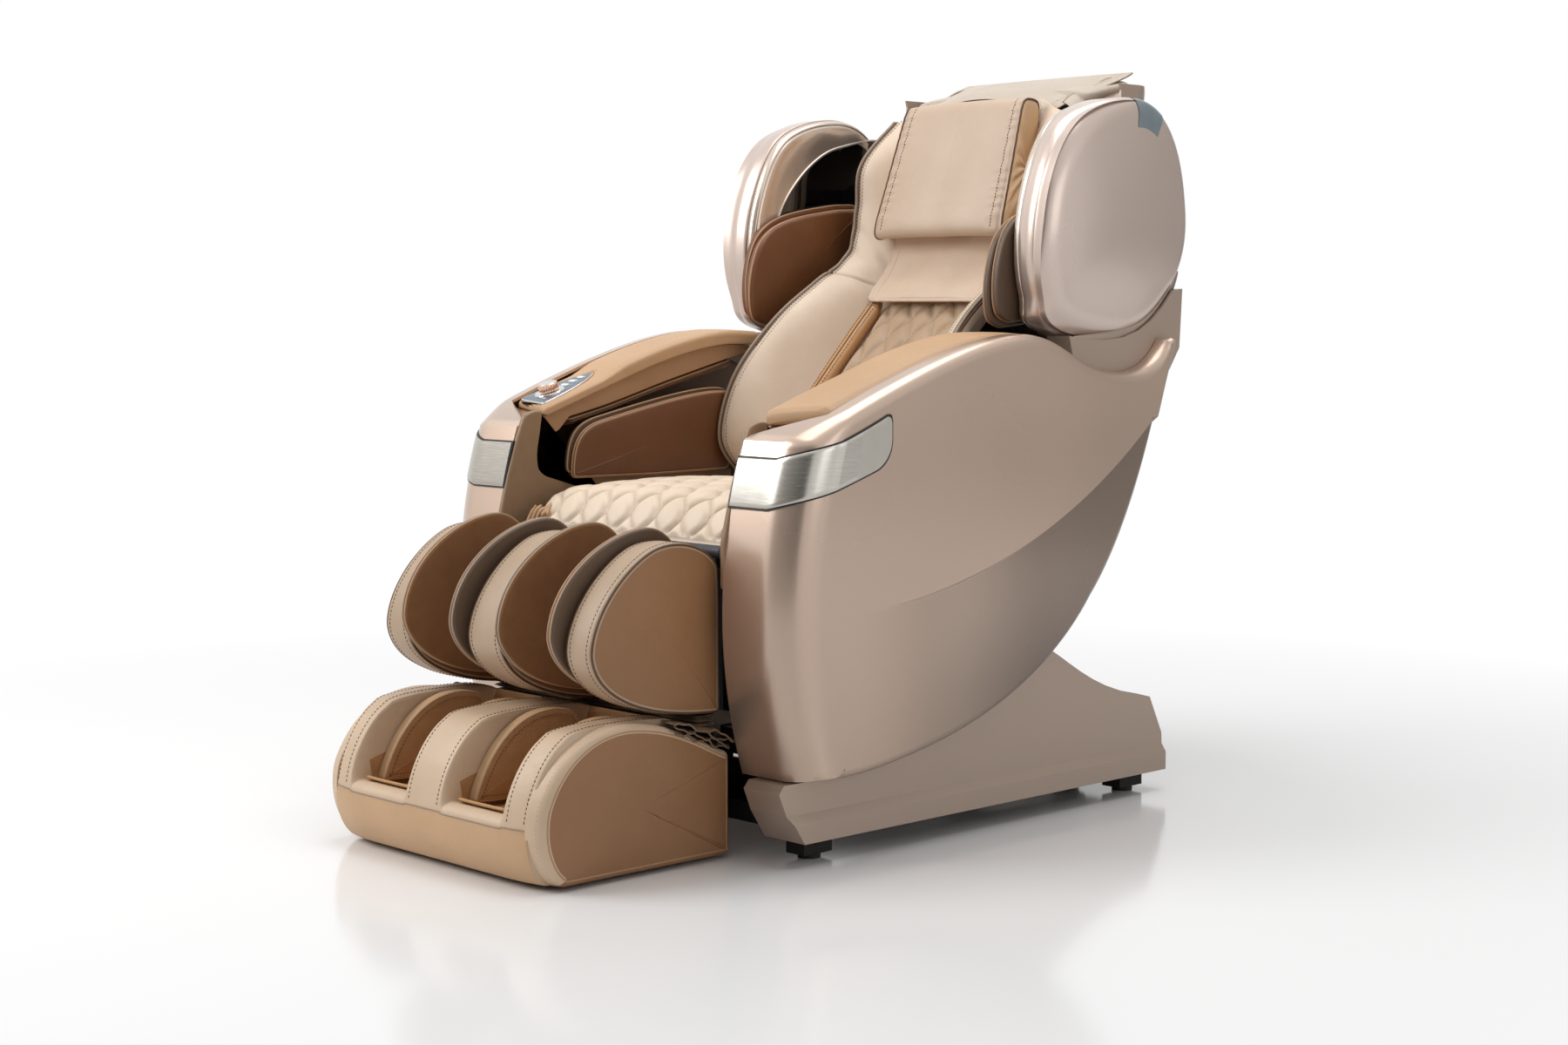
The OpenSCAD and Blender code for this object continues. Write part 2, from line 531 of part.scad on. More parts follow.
module arm_liner_half() difference() {
    union() {
        slab(frame_x + gap, gap_x - gap) polygon([[14, 150], [200, 165], [440, 230], [560, 300],
            [560, 530], [500, 590], [110, 580], [44, 560], [44, 592], [58, 595], [14, 595]]);
        box([frame_x + 2, 44, 532], [arm_x - 18, 504, 536]);          // floor of the arm well
        box([arm_x - 22, 44, 535], [arm_x - 18, 504, 612]);           // outer wall
        box([arm_x - 22, 76, 611], [arm_x - 18, 504, 640]);
        box([frame_x + 2, 44, 535], [arm_x - 18, 48, 592]);           // front wall
        box([frame_x + 2, 500, 535], [arm_x - 18, 504, 660]);         // rear wall
    }
    rod(frame_x - 1, gap_x + 30, tilt_r + 12, [tilt_y, tilt_z]);
}
module arm_liner_left() at() color("#8d7259") side(-1) arm_liner_half();
module arm_liner_right() at() color("#8d7259") side(1) arm_liner_half();

hip_o = concat(bez([[104, 532], [104, 590], [120, 612], [167, 622]], 3),
    bez([[167, 622], [260, 642], [380, 668], [439, 664]], 3),
    bez([[439, 664], [470, 660], [468, 640], [464, 620]], 2),
    [[456, 560], [446, 532], [280, 530]]);
module hip_pads() at() color("#8c5a34") both()
    loft(pad_rings(back(hip_o), wing_half + 3, frame_x - gap, 6, 2, 3, 0));

// ---- console ------------------------------------------------------------------------------

console_tilt = 19.5;
console_at = [-gap_x - 44, 112, 664];
key_y = [34, 52, 70];
module on_console() translate(console_at) rotate([console_tilt, 0, 0]) children();
function console_outline() = concat([[-38, -34], [34, -46]], bez([[38, -42], [40, 20], [24, 72], [4, 96]], 8),
    bez([[4, 96], [-24, 84], [-40, 20], [-42, -30]], 8));
module key_shape(d) hull() both() translate([5, 0]) circle(r = 4 + d);
module console_plate() at() color("#6d757c") on_console() difference() {
    union() {
        translate([0, 0, -5]) linear_extrude(5) polygon(console_outline());
        cylinder(h = 4, r1 = knob_r + 8, r2 = knob_r + 4);
    }
    translate([0, 0, -6]) cylinder(h = 12, r = 3 + fit);
    for (y = key_y) translate([0, y, -6]) linear_extrude(8) key_shape(gap);
}
module console_dial() at() color("#b98a72") on_console() {
    translate([0, 0, 4 + gap]) linear_extrude(knob_h - 2) difference() {
        circle(r = knob_r);
        for (a = [0:15:345]) rotate(a) translate([knob_r + 0.7, 0]) circle(r = 1.5, $fn = 16);
    }
    translate([0, 0, 4 + gap + knob_h - 2]) cylinder(h = 2, r1 = knob_r - 1, r2 = knob_r - 3);
    translate([0, 0, -5]) cylinder(h = 10, r = 3);
}
module console_key(i) at() color("#dfe3e6") on_console() translate([0, key_y[i], -3.4])
    linear_extrude(3.4 + key_travel + 0.3) key_shape(0);
module console_key_1() console_key(0);
module console_key_2() console_key(1);
module console_key_3() console_key(2);

// ---- back rest ----------------------------------------------------------------------------

// Key points of the back's front surface: along its middle, and along the crest of its wings
back_mid = [[478, 540], [503, 600], [565, 668], [642, 747], [706, 814], [744, 888], [774, 968],
    [802, 1060], [838, 1165]];
back_wing = [[452, 526], [415, 588], [450, 692], [536, 790], [634, 856], [712, 904], [736, 984],
    [746, 1062], [812, 1140]];
wing_in = [8, 0, 0, 12, 18, 15, 12, 14, 35];      // how much narrower than wing_half it is
function back_dir(u) = unit(through(back_mid, min(1, u + 0.02)) - through(back_mid, max(0, u - 0.02)));
function back_w(u) = wing_half - 2 - through([for (w = wing_in) [w]], u)[0];
// Front surface at share u of its height and x, sunk by d
function back_at(u, x, d) = let (w = back_w(u), h = smooth((abs(x) - quilt_half - 8) / (w - quilt_half - 14)),
    m = through(back_mid, u), c = through(back_wing, u), t = back_dir(u), p = m + h * (c - m))
    [x, p[0] + d * t[1], p[1] - d * t[0]];
back_t = 14;                          // thickness of the cover over the rollers' way
wing_share = [1, 0.975, 0.9, 0.78, 0.64, 0.49, 0.25, 0];   // where its surface is drawn, of its half width
back_n = len(wing_share) - 1;

module back_cushion() at() color("#cdb59a") loft([for (i = [0:18]) let (u = i / 18, w = back_w(u),
        xs = wing_share) concat(
    [for (j = [0:back_n]) back_at(u, -w * xs[j] * (j == 0 ? 0.985 : 1), j == 0 ? 7 : 0)],
    [for (j = [back_n - 1:-1:0]) back_at(u, w * xs[j] * (j == 0 ? 0.985 : 1), j == 0 ? 7 : 0)],
    [for (j = [0:back_n]) back_at(u, (w - 6) * xs[j], j < 3 ? 26 : back_t)],
    [for (j = [back_n - 1:-1:0]) back_at(u, (6 - w) * xs[j], j < 3 ? 26 : back_t)])]);

// Quilted panel laid on the middle of the back, in rows of diamonds
function quilt_rise(x, u) = quilt_t * (0.55 + 0.45 * abs(sin(180 * (x / 52 + u * 8))
    * sin(180 * (x / 52 - u * 8)))) * pow(max(0, 1 - pow(abs(x) / quilt_half, 8)), 0.5);
quilt_n = 12;
quilt_gap = 1.1;                        // clears the cushion's own facets
module back_quilt() at() color("#c8ab8a") loft([for (i = [0:17]) let (u = 0.04 + 0.56 * i / 17) concat(
    [for (j = [0:quilt_n]) let (x = quilt_half * (2 * j / quilt_n - 1))
        back_at(u, x, -quilt_gap - 1 - quilt_rise(x, u) * (i == 0 || i == 17 ? 0.3 : 1))],
    [for (j = [quilt_n:-1:0]) back_at(u, quilt_half * (2 * j / quilt_n - 1), -quilt_gap)])]);

module back_bolsters() at() color("#b98c5c") both() loft([for (i = [0:14]) let (u = 0.03 + 0.46 * i / 14,
        e = i == 0 || i == 14 ? 0.5 : 1, x = quilt_half + 14) [for (a = [0:60:300])
    back_at(u, x + 12 * cos(a) * e, -15.9 - gap - 11 * sin(a) * e)]], flip = true);

// Padded cover over the head end, with its loose rear edge lying over the rear shell
head_keys = [[812, 1172], [846, 1187], [905, 1200], [962, 1211], [rear_reach, 1216]];
head_w = [150, 172, 190, 194, 192];
module head_cover() at() color("#cbb5a0") {
    loft([for (i = [0:10]) let (u = i / 10, p = through(head_keys, u),
        w = through([for (x = head_w) [x]], u)[0], t = 7 - 3 * u)
        [for (q = [[-1, 0.3], [-0.9, 1], [0, 1.15], [0.9, 1], [1, 0.3], [1, 0], [0.9, 0], [0, 0.15],
            [-0.9, 0], [-1, 0]]) [w * q[0], p[0], p[1] - t + t * q[1]]]]);
    loft([for (i = [0:8]) let (u = i / 8, y = 867 + 119 * u, z = 1168 + 25 * u)
        [for (a = [0:30:330]) [212 * unit([cos(a), sin(a) * 0.25])[0] * (1 - 0.02 * pow(2 * u - 1, 4)),
            y, z + 17 * sin(a)]]], flip = true);
}

rear_keys = [[700, 452], [792, 540], [868, 680], [924, 860], [962, 1020], [990, 1150], [992, 1186]];
function rear_ring(u) = let (p = through(rear_keys, u), w = rear_half, r = 50, t = 4, f = 70 + 30 * u)
    concat([[w, p[0] - f, p[1]]], [for (q = arc([w - r, p[0] - r], r, 0, 90, 4)) [q[0], q[1], p[1]]],
        [for (q = arc([r - w, p[0] - r], r, 90, 180, 4)) [q[0], q[1], p[1]]],
        [[-w, p[0] - f, p[1]], [t - w, p[0] - f, p[1]]],
        [for (q = arc([r - w, p[0] - r], r - t, 180, 90, 4)) [q[0], q[1], p[1]]],
        [for (q = arc([w - r, p[0] - r], r - t, 90, 0, 4)) [q[0], q[1], p[1]]],
        [[w - t, p[0] - f, p[1]]]);
module back_shell() at() color("#b39f92") loft([for (i = [0:11]) rear_ring(i / 11)]);

// Pillow: a wedge with a crowned front and gathered sides; it turns up over its top edge
pillow_o = concat([[756, 934]], bez([[724, 928], [700, 926], [700, 940], [708, 962]], 4),
    bez([[708, 962], [738, 1040], [762, 1110], [776, 1146]], 6),
    bez([[776, 1146], [784, 1164], [800, 1168], [806, 1156]], 4), [[800, 1128], [788, 1060], [770, 984]]);
module pillow() at() color("#c6a17a") loft([for (i = [0:12]) let (c = i / 6 - 1,
        e = 1 - 0.55 * pow(abs(c), 9)) [for (p = pillow_o) let (m = [745, 1040],
        w = pillow_half - 16 * (p[1] - 930) / 230, q = m + (p - m) * [[e, 0], [0, 0.9 + 0.1 * e]])
    [c * w, q[0] - 5 * (1 - c * c) * (p[0] < 770 ? 1 : 0), q[1]]]], flip = true);

flap_keys = [[751, 929.5], [742.4, 906], [717, 866], [689, 838], [678, 819]];
module pillow_flap() at() color("#c19a72") loft([for (i = [0:10]) let (u = i / 10,
        p = through(flap_keys, u), w = 131 - (i == 10 ? 7 : 0)) [for (c = [-1, -0.5, 0, 0.5, 1])
        [w * c, p[0] - c * c, p[1]], for (c = [1, 0.5, 0, -0.5, -1]) [w * c, p[0] - 4 - c * c, p[1] + 3]]]);

// Steel frame: hinge shaft, side plates, toothed guide rails and shoulder tubes
rail_foot = [722, 600];
module on_rail() translate([0, rail_foot[0], rail_foot[1]]) rotate([-rail_lean, 0, 0]) children();
rack_pitch = 12;
module back_frame() at() color("#3d3e41") {
    difference() {
        union() {
            rod(-frame_x + 0.5, frame_x - 0.5, recline_r, [recline_y, recline_z]);
            both() slab(rear_half - 25, rear_half - 15) polygon(concat(
                arc([recline_y, recline_z], recline_r + 8, 180, 320, 10),
                [[762, 600], [762, 640], [722, 640]]));
            for (z = [[606, 20], [1000, 0]]) let (y = z[0] == 606 ? 728 : 905)
                box([15 - rear_half, y, z[0]], [rear_half - 15, y + 28, z[0] + 28]);
            both() on_rail() difference() {
                translate([rail_gap / 2, -12, 0]) cube([16, 30, rail_len]);
                translate([rail_gap / 2 - 1, -5, 20]) cube([8, 16, rail_len - 40]);
                for (z = [30:rack_pitch:rail_len - 30])
                    translate([rail_gap / 2 + 6, -5.5, z]) cube([6, 5, rack_pitch / 2]);
            }
            // brackets for the padding and for the rear cover
            both() slab(165, 175) polygon([back_at(0.8, 165, back_t + 2 * gap),
                back_at(0.84, 165, back_t + 2 * gap), [0, 906, 1028], [0, 906, 1000]]
                * [[0, 0], [1, 0], [0, 1]]);
            both() slab(150, 180) polygon([through(rear_keys, 0.64) - [4 + 2 * gap, 0],
                through(rear_keys, 0.69) - [4 + 2 * gap, 0], [932, 1028], [932, 1000]]);
            // tubes out to the head pods
            both() rod(rail_gap / 2 + 15, pod_in - gap, 12, [836, 940]);
            both() rod(rail_gap / 2 + 15, pod_in - gap, 12, [820, 850]);
            both() box([rail_gap / 2 + 15, 816, 850], [rail_gap / 2 + 21, 840, 940]);
        }
        on_rail() translate([-rail_gap / 2, -80, 30]) cube([rail_gap, 200, rail_len - 70]);
    }
}

// ---- head pods ----------------------------------------------------------------------------

pod_o = concat(bez([[705, 757], [800, 757], [842, 790], [886, 838]], 5),
    bez([[886, 838], [922, 880], [926, 930], [918, 985]], 4),
    bez([[918, 985], [905, 1085], [860, 1148], [775, 1149]], 6),
    bez([[775, 1149], [660, 1147], [560, 1090], [536, 960]], 7),
    bez([[536, 960], [526, 900], [528, 840], [560, 796]], 4),
    bez([[560, 796], [590, 764], [640, 757], [705, 757]], 4));
pod_n = len(pod_o);
pod_v = [for (j = [0:pod_n - 1]) pod_r * 1.25 * left_of(pod_o, j)];
function pod_side() = pod_in + 18;
module pod_shell_half() loft(cup_rings(pod_o, pod_v, [for (p = pod_o) pod_side() + gap],
    [for (p = pod_o) pod_out], [for (p = pod_o) pod_r], shell_wall, 4));
module pod_shell_left() at() color("#cbb7a8") side(-1) pod_shell_half();
module pod_shell_right() at() color("#cbb7a8") side(1) pod_shell_half();

window_o = concat(bez([[620, 966], [636, 1010], [700, 1078], [764, 1096]], 6),
    bez([[764, 1096], [820, 1110], [870, 1122], [890, 1110]], 4),
    bez([[890, 1110], [880, 1040], [830, 984], [764, 972]], 5),
    bez([[764, 972], [710, 962], [650, 952], [620, 966]], 5));
module pod_frame_half() difference() {
    loft(pad_rings(inset(pod_o, 2.5), pod_in, pod_side(), 9, 0.5, 0, 0, 1));
    slab(pod_in - 2, pod_in + 4) polygon(window_o);
}
module pod_frame_left() at() color("#bfa48f") side(-1) pod_frame_half();
module pod_frame_right() at() color("#bfa48f") side(1) pod_frame_half();
module pod_windows() at() color("#0d0c0c") both() slab(pod_in + 1.5, pod_in + 4)
    polygon(inset(back(window_o), 0.4));
insert_at = [10:14];                   // the insert covers these points of the pod's rim
module pod_inserts() at() color("#7f8d94") both() slab(pod_side() + 6, pod_out - pod_r - 4)
    polygon(concat([for (i = insert_at) pod_o[i] - 0.3 * left_of(pod_o, i)],
        back([for (i = insert_at) pod_o[i] - 3 * left_of(pod_o, i)])));

// Skirt that joins a head pod to the back frame and dips into the arm housing's saddle
neck_o = concat([for (j = [-2:5]) pod_o[(j + pod_n) % pod_n] - [0, 2 * gap]],
    [[912, 840], [906, 742], [880, 706], [760, 690], [640, 694]]);
module neck_covers() at() color("#b8a294") both() difference() {
    slab(pod_in + 24, pod_out - 21) polygon(neck_o);
    slab(pod_in + 20, pod_out - 25) polygon(concat([[648, 770]],
        [[846, 800], [890, 850], [902, 838], [896, 745], [874, 715], [760, 698], [648, 702]]));
}

bag_o = concat([[720, 792], [790, 884], [796, 986]], bez([[740, 984], [650, 970], [560, 966], [536, 900]], 6),
    bez([[536, 900], [516, 850], [520, 800], [534, 782]], 4), [[560, 776]]);
module shoulder_bag_half()
    loft(pad_rings(bag_o, 266, pod_in - gap, 9, 4, 3, 0));
module shoulder_bag_left() at() color("#96633a") side(-1) shoulder_bag_half();
module shoulder_bag_right() at() color("#96633a") side(1) shoulder_bag_half();

// ---- massage carriage ---------------------------------------------------------------------

car_z = 60;                           // rest place of the carriage on the rails
car_h = 170;
roller_y = -40;                       // the rollers stand in front of the rails
roller_x = 58;
roller_z = [car_z + 35, car_z + 135];
axle_r = 5;
module massage_carriage() at() color("#55585c") on_rail() difference() {
    union() {
        translate([-rail_gap / 2 + gap, 2, car_z]) cube([rail_gap - 2 * gap, 8, car_h]);
        both() translate([rail_gap / 2 - 1, -5 + gap, car_z + 10]) cube([7 - gap, 16 - 2 * gap, car_h - 20]);
        // motor and gear housing
        translate([-60, 9.9, car_z + 25]) cube([120, 24, car_h - 50]);
        translate([0, 22, car_z + car_h - 26]) cylinder(h = 22, r = 11);
        // arms that carry the roller axles
        both() for (z = roller_z) hull() {
            translate([26, 2.1, z - 14]) cube([12, 2, 28]);
            translate([26, roller_y, z]) rotate([0, 90, 0]) cylinder(h = 12, r = axle_r + 5);
        }
    }
    for (z = roller_z) translate([-60, roller_y, z]) rotate([0, 90, 0]) cylinder(h = 120, r = axle_r + fit);
}
module roller_pair(i) on_rail() translate([0, roller_y, roller_z[i]]) rotate([0, 90, 0]) {
    translate([0, 0, -roller_x - 14]) cylinder(h = 2 * roller_x + 28, r = axle_r);
    for (s = [-1, 1]) translate([0, 0, s * roller_x]) rotate_extrude() polygon(concat([[axle_r - 0.5, -13]],
        [for (p = arc([roller_r - 8, 0], 8, -80, 80, 8)) [p[0], p[1] * 1.4]], [[axle_r - 0.5, 13]]));
}
module roller_upper() at() color("#2b2b2d") roller_pair(1);
module roller_lower() at() color("#2b2b2d") roller_pair(0);

// ---- leg rest -----------------------------------------------------------------------------

calf_back = -22;                      // rear of the calf pads
calf_bottom = 217;
calf_o = concat(bez([[-265, 325], [-262, 262], [-170, 219], [calf_back, calf_bottom]], 6),
    [[calf_back, calf_bottom]],
    bez([[calf_back - 2, 434], [-44, 468], [-105, 482], [-150, 466]], 4),
    bez([[-150, 466], [-200, 446], [-262, 385], [-265, 325]], 5));
wing_o = concat(bez([[-283, 345], [-280, 290], [-190, 236], [-70, 240]], 5),
    bez([[-70, 240], [-40, 243], [calf_back, 290], [calf_back, 350]], 3),
    bez([[calf_back, 350], [calf_back, 440], [-60, 492], [-110, 490]], 4),
    bez([[-110, 490], [-180, 487], [-278, 430], [-283, 345]], 5));
guide_r = 6;
guide_x = 120;
guide_y = calf_back + 8;
module leg_frame() at() color("#29282a") difference() {
    union() {
        box([-leg_half, calf_back + gap, calf_bottom + 4], [leg_half, calf_back + 4, 430]);
        both() box([leg_half - 18, calf_back + gap, calf_bottom + 4], [leg_half - 14, calf_back + 14, 430]);
        rod(-frame_x, frame_x, leg_r, [leg_y, leg_z]);
        rod(-leg_half + 4, leg_half - 4, leg_r + 3, [leg_y, leg_z]);
        both() slab(leg_half - 22, leg_half - 14) polygon([[leg_y - 6, leg_z], [leg_y + 6, leg_z],
            [calf_back + 14, 410], [calf_back + 1, 410]]);
        // guide rods and their upper brackets
        both() translate([guide_x, guide_y, 70]) cylinder(h = 290, r = guide_r);
        both() for (z = [235, 345])
            box([guide_x - 12, calf_back + 3.9, z], [guide_x + 12, guide_y + 8, z + 12]);
    }
}
module calf_pad(x0, x1, b0, b1) loft(pad_rings(calf_o, x0, x1, 10, 10, b0, b1));
module calf_pad_left() at() color("#bb9164") side(-1) calf_pad(leg_half - calf_w, leg_half - 3, 4, 3);
module calf_pad_right() at() color("#bb9164") calf_pad(leg_half - calf_w, leg_half - 3, 4, 3);
module calf_pad_middle() at() color("#bb9164") calf_pad(-calf_mid + 5, calf_mid - 5, 5, 5);
wing_x = [calf_mid + 5 + gap, leg_half - calf_w - 5 - gap];
module calf_wing_pair() {
    loft(pad_rings(wing_o, wing_x[0], wing_x[0] + calf_bag_t, 2, 6, 0, 4));
    loft(pad_rings(wing_o, wing_x[1] - calf_bag_t, wing_x[1], 6, 2, 4, 0));
}
module calf_wings_left() at() color("#7c5638") side(-1) calf_wing_pair();
module calf_wings_right() at() color("#7c5638") calf_wing_pair();

// ---- foot rest ----------------------------------------------------------------------------

foot_back = -12;
foot_nose = -front_reach;
foot_o = concat([[foot_back, foot_gap]],
    bez([[foot_back, 157], [-60, 176], [-120, 218], [-210, 220]], 5),
    bez([[-210, 220], [-300, 220], [-356, 168], [foot_nose + 4, 118]], 6),
    bez([[foot_nose + 4, 118], [foot_nose - 5.3, 85], [foot_nose, 30], [-335, foot_gap]], 5),
    [[-335, foot_gap]]);
foot_body = foot_half - foot_pad_t;   // half width of the body between the side pads
module foot_shell() at() color("#b98d5e") difference() {
    slab(-foot_body, foot_body) polygon(foot_o);
    // wells for the feet, with a lower front lip
    both() slab(well_in, well_out) polygon(concat([[-352, 230], [-360, 120], [-338, 108], [-318, 72]],
        [[-150, 84], [-112, 110]],
        bez([[-112, 110], [-104, 150], [-108, 190], [-112, 230]], 4), [[-112, 230]]));
    // hollow below, roller slots and axle bore
    both() slab(well_in - 26, foot_body - 16)
        polygon([[-318, 0], [-322, 46], [-300, 56], [-60, 56], [-44, 0]]);
    both() box([well_in + 24, -262, 40], [well_out - 24, -208, 90]);
    rod(-foot_body - 1, foot_body + 1, 5 + fit, [-235, 66]);
    both() translate([guide_x, guide_y, -10]) cylinder(h = 200, r = guide_r + fit);
}
module foot_side_pads() at() color("#ba9062") both()
    loft(pad_rings(foot_o, foot_body + gap, foot_half - 3, 2, 14, 0, 3));
module foot_soles() at() color("#a97f55") both() difference() {
    slab(well_in + 1, well_out - 1) polygon([[-317, 73], [-152, 85], [-150, 92], [-314, 81]]);
    box([well_in + 22, -265, 60], [well_out - 22, -205, 100]);
}
well_bag_o = concat(bez([[-330, 100], [-300, 92], [-200, 96], [-150, 106]], 3),
    bez([[-150, 106], [-118, 130], [-120, 190], [-150, 214]], 3),
    bez([[-150, 214], [-200, 232], [-290, 220], [-330, 100]], 6));
module foot_bags() at() color("#b5895a") both() {
    loft(pad_rings(well_bag_o, well_in + gap, well_in + 20, 2, 7, 0, 4));
    loft(pad_rings(well_bag_o, well_out - 20, well_out - gap, 7, 2, 4, 0));
}
module foot_rollers() at() color("#3a2c22") {
    rod(-foot_body + 1, foot_body - 1, 5, [-235, 66]);
    both() translate([(well_in + well_out) / 2 - 40, -235, 66]) rotate([0, 90, 0]) rotate_extrude()
        polygon([[4.5, 0], [foot_roller_r - 4, 0], for (i = [0:6]) each
            [[foot_roller_r, 4 + i * 11], [foot_roller_r, 9 + i * 11], [foot_roller_r - 4, 12 + i * 11]],
            [4.5, 80]]);
}
// Folded fabric between the calf pads and the foot rest
bellow_n = 4;                         // number of folds
bellow_z = 184;
module foot_bellows() at() color("#8e7053") loft([for (i = [0:2 * bellow_n])
    let (z = bellow_z + i * (calf_bottom - gap - bellow_z) / bellow_n / 2,
        e = i % 2 == 0 ? 0 : 6, w = leg_half - 11 + e, y0 = calf_back - 8 + e, y1 = -58 - e)
    [[w, y1, z], [w, y0, z], [-w, y0, z], [-w, y1, z],
     [8 - w, y1, z], [8 - w, y0 - 8, z], [w - 8, y0 - 8, z], [w - 8, y1, z]]]);

base_cover();
base_frame();
base_feet();
control_box();
air_pump();
recess_panel();
inlet_plate();
power_switch();
transport_wheels();
seat_frame();
seat_pan();
seat_apron();
seat_cushion();
arm_shell_left();
arm_shell_right();
arm_trims();
arm_liner_left();
arm_liner_right();
arm_ledges();
armrest_left();
armrest_right();
arm_airbags();
hip_pads();
console_plate();
console_dial();
console_key_1();
console_key_2();
console_key_3();
back_frame();
back_shell();
back_cushion();
back_quilt();
back_bolsters();
head_cover();
pillow();
pillow_flap();
pod_shell_left();
pod_shell_right();
pod_frame_left();
pod_frame_right();
pod_windows();
pod_inserts();
neck_covers();
shoulder_bag_left();
shoulder_bag_right();
massage_carriage();
roller_upper();
roller_lower();
leg_frame();
calf_pad_left();
calf_pad_middle();
calf_pad_right();
calf_wings_left();
calf_wings_right();
foot_shell();
foot_side_pads();
foot_bags();
foot_soles();
foot_rollers();
foot_bellows();
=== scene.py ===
"""Massage chair: the visible pieces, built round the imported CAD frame.

Shapes are written in mm: x across the chair (the right arm is at +x), y backwards from the arm
housings' front edge, z up from the floor. Outlines lie in the y-z plane unless a comment says otherwise.
"""
import json
from math import cos, pi, radians, sin

import bmesh
import bpy
import numpy as np
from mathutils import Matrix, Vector
from mathutils.geometry import delaunay_2d_cdt

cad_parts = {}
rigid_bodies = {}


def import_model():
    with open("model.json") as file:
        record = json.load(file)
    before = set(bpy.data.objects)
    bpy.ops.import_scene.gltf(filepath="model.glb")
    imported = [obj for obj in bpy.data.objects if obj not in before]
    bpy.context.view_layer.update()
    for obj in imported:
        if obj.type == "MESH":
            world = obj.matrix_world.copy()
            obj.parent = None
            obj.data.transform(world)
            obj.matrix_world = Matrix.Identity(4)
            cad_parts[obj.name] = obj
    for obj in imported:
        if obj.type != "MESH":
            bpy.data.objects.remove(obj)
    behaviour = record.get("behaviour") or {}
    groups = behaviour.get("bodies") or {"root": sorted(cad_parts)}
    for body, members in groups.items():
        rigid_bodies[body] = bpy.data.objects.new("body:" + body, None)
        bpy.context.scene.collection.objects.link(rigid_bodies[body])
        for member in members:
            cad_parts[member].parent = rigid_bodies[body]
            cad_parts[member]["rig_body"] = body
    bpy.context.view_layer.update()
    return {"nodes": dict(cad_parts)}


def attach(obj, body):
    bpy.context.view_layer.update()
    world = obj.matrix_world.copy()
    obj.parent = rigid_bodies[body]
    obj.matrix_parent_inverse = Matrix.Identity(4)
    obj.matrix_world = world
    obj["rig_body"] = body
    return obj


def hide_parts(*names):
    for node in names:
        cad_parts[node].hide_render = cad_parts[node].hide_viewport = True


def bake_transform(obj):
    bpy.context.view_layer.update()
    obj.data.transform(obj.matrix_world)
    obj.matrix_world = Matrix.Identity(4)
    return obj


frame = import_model()
rng = np.random.default_rng(7)
ORIGIN_Y = 311.0  # the frame's origin lies this far behind y = 0 of the shapes
SIDES = ((1, "right"), (-1, "left"))


# ---- camera, fitted to the photo ----------------------------------------------------------
camera = bpy.data.objects.new("camera", bpy.data.cameras.new("camera"))
bpy.context.scene.collection.objects.link(camera)
camera.data.lens = 56.23
camera.data.sensor_width = 36
camera.location = (2.88366, -2.72011, 0.81145)
azimuth, dip = radians(46.308), radians(5.0568)
view = Vector((-sin(azimuth) * cos(dip), cos(azimuth) * cos(dip), -sin(dip)))
camera.rotation_euler = view.to_track_quat("-Z", "Y").to_euler()
bpy.context.scene.camera = camera


# ---- curves -----------------------------------------------------------------------------
def A(p):
    return np.asarray(p, float)


def bez(p, n):
    """n points of a cubic Bezier curve, without its end."""
    t = np.arange(n)[:, None] / n
    p = A(p)
    s = 1 - t
    return s**3 * p[0] + 3 * s * s * t * p[1] + 3 * s * t * t * p[2] + t**3 * p[3]


def angles(n):
    """n angles round a full turn."""
    return np.linspace(0, 2 * pi, n, endpoint=False)


def arc(c, r, a0, a1, n):
    a = np.radians(np.linspace(a0, a1, n + 1))
    return np.column_stack([c[0] + r * np.cos(a), c[1] + r * np.sin(a)])


def thr(k, u):
    """The smooth curve through the points k, at shares u of it."""
    k = A(k)
    if k.ndim == 1:
        return thr(k[:, None], u)[..., 0]
    f = np.clip(A(u), 0, 1) * (len(k) - 1)
    i = np.minimum(f.astype(int), len(k) - 2)
    t = (f - i)[..., None]
    a, b, c, d = (k[np.clip(i + j, 0, len(k) - 1)] for j in (-1, 0, 1, 2))
    return 0.5 * (
        2 * b + t * (c - a) + t * t * (2 * a - 5 * b + 4 * c - d) + t**3 * (3 * b - a - 3 * c + d)
    )


def unit(v):
    v = A(v)
    return v / np.maximum(np.linalg.norm(v, axis=-1, keepdims=True), 1e-9)


def along(p, closed=False):
    """Unit tangents of a path."""
    return unit(np.roll(p, -1, 0) - np.roll(p, 1, 0) if closed else np.gradient(p, axis=0))


def left_of(o):
    d = along(o, True)
    return np.column_stack([-d[:, 1], d[:, 0]])


def inset(o, d):
    return o + np.reshape(d, (-1, 1)) * left_of(o)


def lengths(p, closed):
    q = np.vstack([p, p[:1]]) if closed else A(p)
    return q, np.r_[0, np.cumsum(np.linalg.norm(np.diff(q, axis=0), axis=1))]


def even(p, n, closed=True):
    """n points equally spaced along a curve of any dimension."""
    q, s = lengths(p, closed)
    t = np.linspace(0, s[-1], n + 1)[:-1] if closed else np.linspace(0, s[-1], n)
    return np.column_stack([np.interp(t, s, q[:, k]) for k in range(q.shape[1])])


def relax(o, times):
    """Moves each point of a ring towards its neighbours."""
    for _ in range(times):
        o = 0.25 * np.roll(o, 1, 0) + 0.5 * o + 0.25 * np.roll(o, -1, 0)
    return o


def soften(o, n, times):
    return relax(even(A(o), n), times)


def joined(*parts):
    """A path of corner points and of Bezier pieces, which are given as (points, count)."""
    return np.vstack([bez(*p) if isinstance(p, tuple) else p for p in parts])


def outline(n, times, *parts):
    return soften(joined(*parts), n, times)


